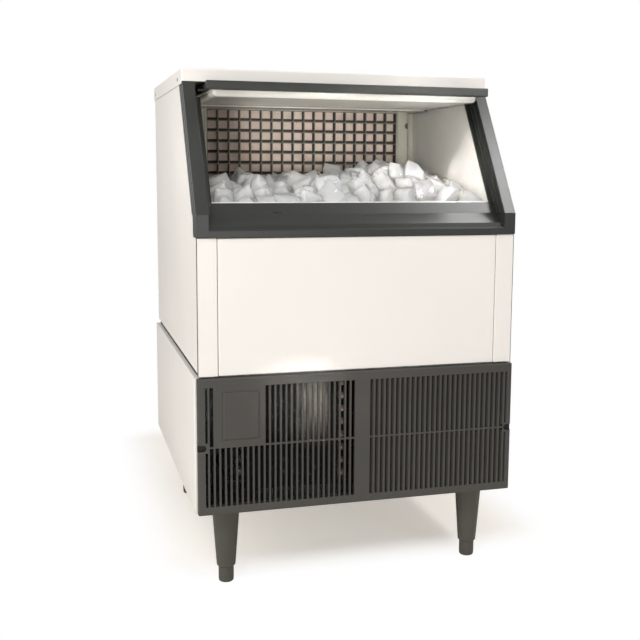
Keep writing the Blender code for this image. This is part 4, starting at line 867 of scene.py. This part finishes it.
@dataclass
class IceHeap:
    """Loose ice: lumps that are half melted together, heaped on a bed of the same ice.

    Attributes:
        toe: The heap's height at its front, from where it rises to its crest.
        foot: Where it starts to rise, and rise is the depth that this takes.
        topped: The share of the lumps in the back rows that carry another one.
        plug_plane: The closed door's plug has y = (plug_plane + plug_fall z) / plug_slant at a height z.
        clearance: How far the lumps' middles stay behind the plug, in lump lengths.
        crest: Places from left to right, each with the heap's height.
    """

    half_width: float = 0.2685
    front: float = 0.0570
    back: float = 0.4520
    floor: float = 0.2910
    toe: float = 0.560
    foot: float = 0.055
    rise: float = 0.13
    bed_drop: float = 0.016
    lump: float = 0.0560
    lump_drop: float = 0.014
    spacing: float = 0.0370
    scatter: float = 0.006
    topped: float = 0.16
    seed: int = 11
    plug_plane: float = -0.2704
    plug_fall: float = 0.549
    plug_slant: float = 0.836
    clearance: float = 0.70
    crest: tuple[tuple[float, float], ...] = (
        (-0.270, 0.588), (-0.200, 0.590), (-0.160, 0.602), (-0.120, 0.588), (-0.070, 0.603), (0.000, 0.606),
        (0.060, 0.610), (0.110, 0.622), (0.160, 0.620), (0.195, 0.602), (0.235, 0.600), (0.270, 0.572),
    )

    def height(self, x: float, y: float) -> float:
        """The heap's height at a place in the cabinet's frame."""
        top = self.crest[-1][1]
        for (x0, z0), (x1, z1) in zip(self.crest, self.crest[1:]):
            if x0 <= x <= x1:
                top = z0 + (z1 - z0) * (x - x0) / (x1 - x0)
        rise = min(1.0, max(0.0, (y - self.foot) / self.rise))
        drift = 0.004 * math.sin(37 * x + 21 * y) + 0.003 * math.sin(61 * y - 29 * x + 1.3)
        return self.toe + (top - self.toe) * math.sin(rise * math.pi / 2) + drift * rise

    def behind_door(self, z: float) -> float:
        """The foremost place of a lump's middle at a height, so that it stays clear of the closed door's plug."""
        return (self.plug_plane + self.plug_fall * z + self.lump * self.clearance) / self.plug_slant

    def bed(self) -> Object:
        """Models the bed under the loose lumps: a block whose top follows the heap, a little lower."""
        low, high = (-self.half_width, self.front, self.floor), (self.half_width, self.back, 0.50)
        bed = Bench.box("ice_bed", cabinet(*low), cabinet(*high))
        with Bench.editing(bed) as shape:
            Bench.pick(bed, shape, Bench.facing(shape, Vector((0, 0, 1))))
            bpy.ops.mesh.subdivide(number_cuts=29)
        with Bench.editing(bed, "VERT") as shape:
            top = cabinet(0, 0, 0.50).z - 0.0001
            for vert in shape.verts:
                if vert.co.z > top:
                    place = vert.co - CABINET_SHIFT
                    vert.co.z = cabinet(0, 0, self.height(place.x, place.y) - self.bed_drop).z
        return bed

    def one_lump(self, number: int, chance: random.Random) -> Object:
        """Models one lump: a block whose corners are split off by clean breaks, with its edges melted round.

        Args:
            number: The lump's number.
            chance: The seeded source of its breaks.

        Returns:
            The lump, round the origin.
        """
        half = Vector((0.50, 0.44, 0.34)) * self.lump
        lump = Bench.box(f"lump_{number}", -half, half)
        for _ in range(6):
            way = Vector((chance.gauss(0, 1), chance.gauss(0, 1), chance.gauss(0, 1))).normalized()
            with Bench.editing(lump) as shape:
                Bench.pick(lump, shape, shape.faces)
                spot = way * self.lump * chance.uniform(0.30, 0.42)
                bpy.ops.mesh.bisect(plane_co=spot, plane_no=way, use_fill=True, clear_outer=True)
        with Bench.editing(lump, "EDGE") as shape:
            Bench.pick(lump, shape, shape.edges)
            bpy.ops.mesh.bevel(offset=self.lump * 0.030, segments=1, affect="EDGES")
        return lump

    def place_one(self, model: Object, number: int, spot: Vector, chance: random.Random) -> Object:
        """Copies a lump to a place, with a turn and a size of its own.

        Args:
            model: The lump to copy.
            number: The copy's number.
            spot: Its place in the cabinet's frame.
            chance: The seeded source of its turn and size.

        Returns:
            The copy.
        """
        angle = chance.uniform(0, math.tau)
        turn = Matrix.Rotation(angle, 4, Vector((chance.gauss(0, 1), chance.gauss(0, 1), 0.6)))
        size = Matrix.Diagonal((*(chance.uniform(0.70, 1.12) for _ in range(3)), 1.0))
        return Bench.copy(model, f"ice_{number}", Matrix.Translation(cabinet(*spot)) @ turn @ size)

    def build(self) -> None:
        """Makes the bed and heaps the lumps on it."""
        bed = self.bed()
        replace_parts(Bench.hand_in(bed, Stock.ICE, "ice"), "ice_heap")
        chance = random.Random(self.seed)
        models = [self.one_lump(number, chance) for number in range(5)]
        lumps = []
        margin = self.lump * 0.56
        reach = self.half_width - margin
        columns = int(2 * reach / self.spacing)
        rows = int((self.back - self.front - 2 * margin) / self.spacing)
        for row in range(rows + 1):
            for column in range(columns + 1):
                x = -reach + 2 * reach * column / columns + chance.uniform(-self.scatter, self.scatter)
                y = self.front + margin + self.spacing * row + chance.uniform(-self.scatter, self.scatter)
                x = max(-reach, min(reach, x))
                y = max(self.front + margin, min(self.back - margin, y))
                z = self.height(x, y) - self.lump_drop + chance.uniform(-self.scatter, self.scatter)
                y = max(y, self.behind_door(z))
                lumps.append(self.place_one(chance.choice(models), len(lumps), Vector((x, y, z)), chance))
                if row > 3 and chance.random() < self.topped:
                    y = min(self.back - margin, y + chance.uniform(-0.004, 0.008))
                    z += chance.uniform(0.006, 0.012)
                    lumps.append(self.place_one(chance.choice(models), len(lumps), Vector((x, y, z)), chance))
        for model in models:
            bpy.data.objects.remove(model, do_unlink=True)
        loose = Bench.join("ice_lumps", lumps)
        Bench.hand_in(Bench.round_off(loose, 60), Stock.ICE, "ice")


@dataclass
class CondenserFins:
    """The condenser's pack of thin fins, which shows through the left half of the grille."""

    left: float = -0.2148
    right: float = -0.0352
    front: float = 0.0302
    back: float = 0.0718
    low: float = 0.0322
    high: float = 0.2338
    pitch: float = 0.0021
    foil: float = 0.0003

    def build(self) -> None:
        """Models one fin, folded at its front edge, and repeats it."""
        low, high = (self.left, self.front, self.low), (self.left + self.foil, self.back, self.high)
        first = Bench.box("condenser_fin_pack", cabinet(*low), cabinet(*high))
        with Bench.editing(first) as shape:
            Bench.pick(first, shape, Bench.facing(shape, Vector((0, -1, 0))))
            bpy.ops.mesh.extrude_region_move(TRANSFORM_OT_translate={"value": (0.0004, -0.0002, 0.0)})
        count = int((self.right - self.left) / self.pitch)
        step = {"use_relative_offset": False, "use_constant_offset": True}
        Bench.modify(first, "ARRAY", count=count, constant_offset_displace=(self.pitch, 0.0, 0.0), **step)
        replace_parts(Bench.hand_in(first, Stock.FIN_FOIL, "fin_stock"), "condenser_fins")


@dataclass
class PlateFixings:
    """The grey half-round clips that hold the freezing plate's surround along both its sides."""

    edges: tuple[float, float] = (-0.2400, 0.2560)
    heights: tuple[float, ...] = (0.5330, 0.6300, 0.7270)
    radius: float = 0.0064
    face: float = 0.476
    sunk: float = 0.002
    stand: float = 0.0060
    bevel: float = 0.0012
    overlap: float = 0.0002

    def build(self) -> None:
        """Models each clip as a drum, cut flat at the surround's edge and rounded over."""
        made = []
        for side, edge in zip((-1, 1), self.edges):
            for number, z in enumerate(self.heights):
                start, end = cabinet(edge, self.face + self.sunk, z), cabinet(edge, self.face - self.stand, z)
                clip = Bench.drum(f"clip_{side}_{number}", self.radius, start, end, 28)
                with Bench.editing(clip, "EDGE") as shape:
                    rim = [e for e in shape.edges if all(v.co.y < end.y + 0.0005 for v in e.verts)]
                    Bench.pick(clip, shape, rim)
                    bpy.ops.mesh.bevel(offset=self.bevel, segments=2, affect="EDGES")
                with Bench.editing(clip) as shape:
                    Bench.pick(clip, shape, shape.faces)
                    flat = cabinet(edge + side * self.overlap, 0, 0)
                    bpy.ops.mesh.bisect(plane_co=flat, plane_no=(side, 0, 0), use_fill=True, clear_outer=True)
                made.append(clip)
        clips = Bench.join("plate_clips", made)
        Bench.hand_in(Bench.round_off(clips, 40), Stock.DULL_CLIP, "steel")


@dataclass(frozen=True)
class Lamp:
    """A soft rectangular lamp.

    Attributes:
        name: Its name.
        place: Where it hangs.
        size: Its width and height.
        power: Its power in watts.
        target: Where it looks.
        fan: The angle in degrees that its light fans out to, which a honeycomb grid narrows.
    """

    name: str
    place: tuple[float, float, float]
    size: tuple[float, float]
    power: float
    target: tuple[float, float, float] = (0.0, -0.10, 0.55)
    fan: float = 180.0

    def hang(self) -> None:
        """Adds the lamp to the scene, unseen by the camera."""
        bpy.ops.object.light_add(type="AREA", location=self.place)
        lamp = bpy.context.object
        lamp.name = self.name
        lamp.data.shape = "RECTANGLE"
        lamp.data.size, lamp.data.size_y = self.size
        lamp.data.energy = self.power
        lamp.data.spread = math.radians(self.fan)
        lamp.visible_camera = False
        ahead = Vector(self.target) - Vector(self.place)
        lamp.rotation_euler = ahead.to_track_quat("-Z", "Y").to_euler()


LAMPS = (
    Lamp("right_top_box", (1.16, -1.03, 2.32), (0.45, 0.45), 12.0),
    Lamp("right_back_strip", (1.02, 0.05, 2.40), (0.5, 0.4), 7.0),
    Lamp("right_front_strip", (1.16, -2.35, 1.11), (0.25, 0.5), 3.5),
    Lamp("left_high_box", (-1.30, -2.10, 2.35), (0.8, 0.8), 26.0),
    Lamp("left_side_box", (-2.30, -0.90, 1.40), (1.4, 1.8), 31.0),
    Lamp("low_left_box", (-1.90, -2.30, 0.85), (1.0, 0.9), 3.0),
    Lamp("low_front_box", (-0.30, -2.90, 0.65), (1.8, 0.8), 9.5),
    Lamp("bin_grid_box", (-0.50, -1.25, 0.74), (0.40, 0.04), 0.125, (0.03, 0.14, 0.835), 13.0),
    Lamp("bin_low_box", (-0.30, -1.60, 0.47), (0.40, 0.03), 0.20, (0.02, -0.14, 0.900), 5.0),
    Lamp("grille_box", (-0.52, -2.15, 0.86), (0.10, 0.02), 0.04, (-0.09, -0.25, 0.335), 5.0),
    Lamp("bin_high_box", (-0.95, -1.89, 2.15), (0.14, 0.14), 0.20, (0.24, -0.10, 0.73), 6.0),
)


@dataclass
class Studio:
    """The plain pale floor, the soft lamps, the white surroundings and the camera.

    Attributes:
        focal: The camera's focal length in pixels of the picture, and centre is the pixel that it looks at.
        mirrored: How bright the white room looks in mirrors.
        filled: How bright it looks to dull surfaces.
        pool: The middle of the shadow's place on the floor, and pool_half is half of its width and depth.
        shadow_start: How far beyond that place the floor starts to go white.
        shadow_reach: How far beyond it the floor is all white.
        shadow_lift: How much the shadow is brightened to the camera.
    """

    eye: tuple[float, float, float] = (-0.5437, -2.033, 0.7817)
    yaw: float = 16.05
    pitch: float = -7.62
    roll: float = 0.37
    focal: float = 974.3
    centre: tuple[float, float] = (334.3, 298.2)
    image: int = 640
    sensor: float = 36.0
    mirrored: float = 0.45
    filled: float = 0.20
    pool: tuple[float, float, float] = (0.05, 0.30, 0.0)
    pool_half: tuple[float, float, float] = (0.28, 0.42, 0.0)
    shadow_start: float = 0.02
    shadow_reach: float = 0.17
    shadow_lift: float = 0.38

    def camera(self) -> None:
        """Places the camera as the photograph's, and makes it the scene's."""
        yaw, pitch, roll = (math.radians(a) for a in (self.yaw, self.pitch, self.roll))
        ahead = Vector((math.sin(yaw) * math.cos(pitch), math.cos(yaw) * math.cos(pitch), math.sin(pitch)))
        right = Vector((math.cos(yaw), -math.sin(yaw), 0.0))
        up = right.cross(ahead)
        across = math.cos(roll) * right + math.sin(roll) * up
        upright = -math.sin(roll) * right + math.cos(roll) * up
        bpy.ops.object.camera_add(location=self.eye)
        camera = bpy.context.object
        camera.name = "photo_camera"
        turn = Matrix((across, upright, -ahead)).transposed().to_4x4()
        camera.matrix_world = Matrix.Translation(self.eye) @ turn
        camera.data.sensor_width = self.sensor
        camera.data.lens = self.focal / self.image * self.sensor
        camera.data.shift_x = -(self.centre[0] - self.image / 2) / self.image
        camera.data.shift_y = (self.centre[1] - self.image / 2) / self.image
        camera.data.clip_start = 0.05
        bpy.context.scene.camera = camera

    def world(self) -> None:
        """Lights the scene evenly, and shows a white room to the camera and glass, and a dimmer one to mirrors."""
        world = bpy.data.worlds.new("white_room")
        bpy.context.scene.world = world
        world.use_nodes = True
        tree = world.node_tree
        rays = add_node(tree, "LightPath")
        seen = {0: rays.outputs["Is Camera Ray"], 1: rays.outputs["Is Transmission Ray"]}
        direct = add_node(tree, "Math", seen, operation="MAXIMUM").outputs[0]
        mirrored = {0: rays.outputs["Is Glossy Ray"], 1: self.mirrored}
        dimmed = add_node(tree, "Math", mirrored, operation="MULTIPLY").outputs[0]
        shown = add_node(tree, "Math", {0: direct, 1: dimmed}, operation="MAXIMUM").outputs[0]
        strength = add_node(tree, "Math", {0: shown, 1: self.filled}, operation="MAXIMUM").outputs[0]
        background = tree.nodes["Background"]
        background.inputs["Color"].default_value = (1.0, 1.0, 1.0, 1.0)
        tree.links.new(strength, background.inputs["Strength"])

    def floor(self) -> None:
        """Lays a plain pale floor. The camera sees it go over to white away from the machine and its shadow."""
        bpy.ops.mesh.primitive_plane_add(size=30.0, location=(0.0, 0.0, 0.0))
        floor = bpy.context.object
        floor.name = "studio_floor"
        made = bpy.data.materials.new("studio_floor")
        made.use_nodes = True
        tree = made.node_tree
        shader = tree.nodes["Principled BSDF"]
        shader.inputs["Base Color"].default_value = linear("f4f0ea")
        shader.inputs["Roughness"].default_value = 0.9
        shader.inputs["Specular IOR Level"].default_value = 0.1
        gap = add_node(tree, "TexCoord").outputs["Object"]
        steps = (("SUBTRACT", self.pool), ("ABSOLUTE", None), ("SUBTRACT", self.pool_half), ("MAXIMUM", (0, 0, 0)))
        for step, value in steps:
            inputs = {0: gap} if value is None else {0: gap, 1: value}
            gap = add_node(tree, "VectorMath", inputs, operation=step).outputs["Vector"]
        far = add_node(tree, "VectorMath", {0: gap}, operation="LENGTH").outputs["Value"]
        run = {"Value": far, "From Min": self.shadow_start, "From Max": self.shadow_reach}
        fade = add_node(tree, "MapRange", run, interpolation_type="SMOOTHSTEP").outputs["Result"]
        to_camera = add_node(tree, "LightPath").outputs["Is Camera Ray"]
        seen = add_node(tree, "Math", {0: fade, 1: to_camera}, operation="MULTIPLY")
        white = add_node(tree, "Emission", {"Color": linear("ffffff"), "Strength": 1.0})
        lift = add_node(tree, "Math", {0: to_camera, 1: self.shadow_lift}, operation="MULTIPLY").outputs[0]
        tree.links.new(lift, shader.inputs["Emission Strength"])
        shader.inputs["Emission Color"].default_value = linear("fff6ec")
        pick = add_node(tree, "MixShader", {0: seen.outputs[0], 1: shader.outputs[0], 2: white.outputs[0]})
        tree.links.new(pick.outputs[0], tree.nodes["Material Output"].inputs["Surface"])
        floor.data.materials.append(made)

    def build(self) -> None:
        """Sets up the whole studio."""
        self.camera()
        self.world()
        self.floor()
        for lamp in LAMPS:
            lamp.hang()
        bpy.context.scene.view_settings.view_transform = "Standard"
        log.info("studio set")


def main() -> None:
    """Builds the dressed machine in its studio."""
    logging.basicConfig(level=logging.INFO, format="%(name)s %(message)s")
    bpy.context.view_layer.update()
    Studio().build()
    PackedNodes().build()
    IceHeap().build()
    CondenserFins().build()
    PlateFixings().build()
    CabinetFixings().build()


if __name__ == "__main__":
    main()
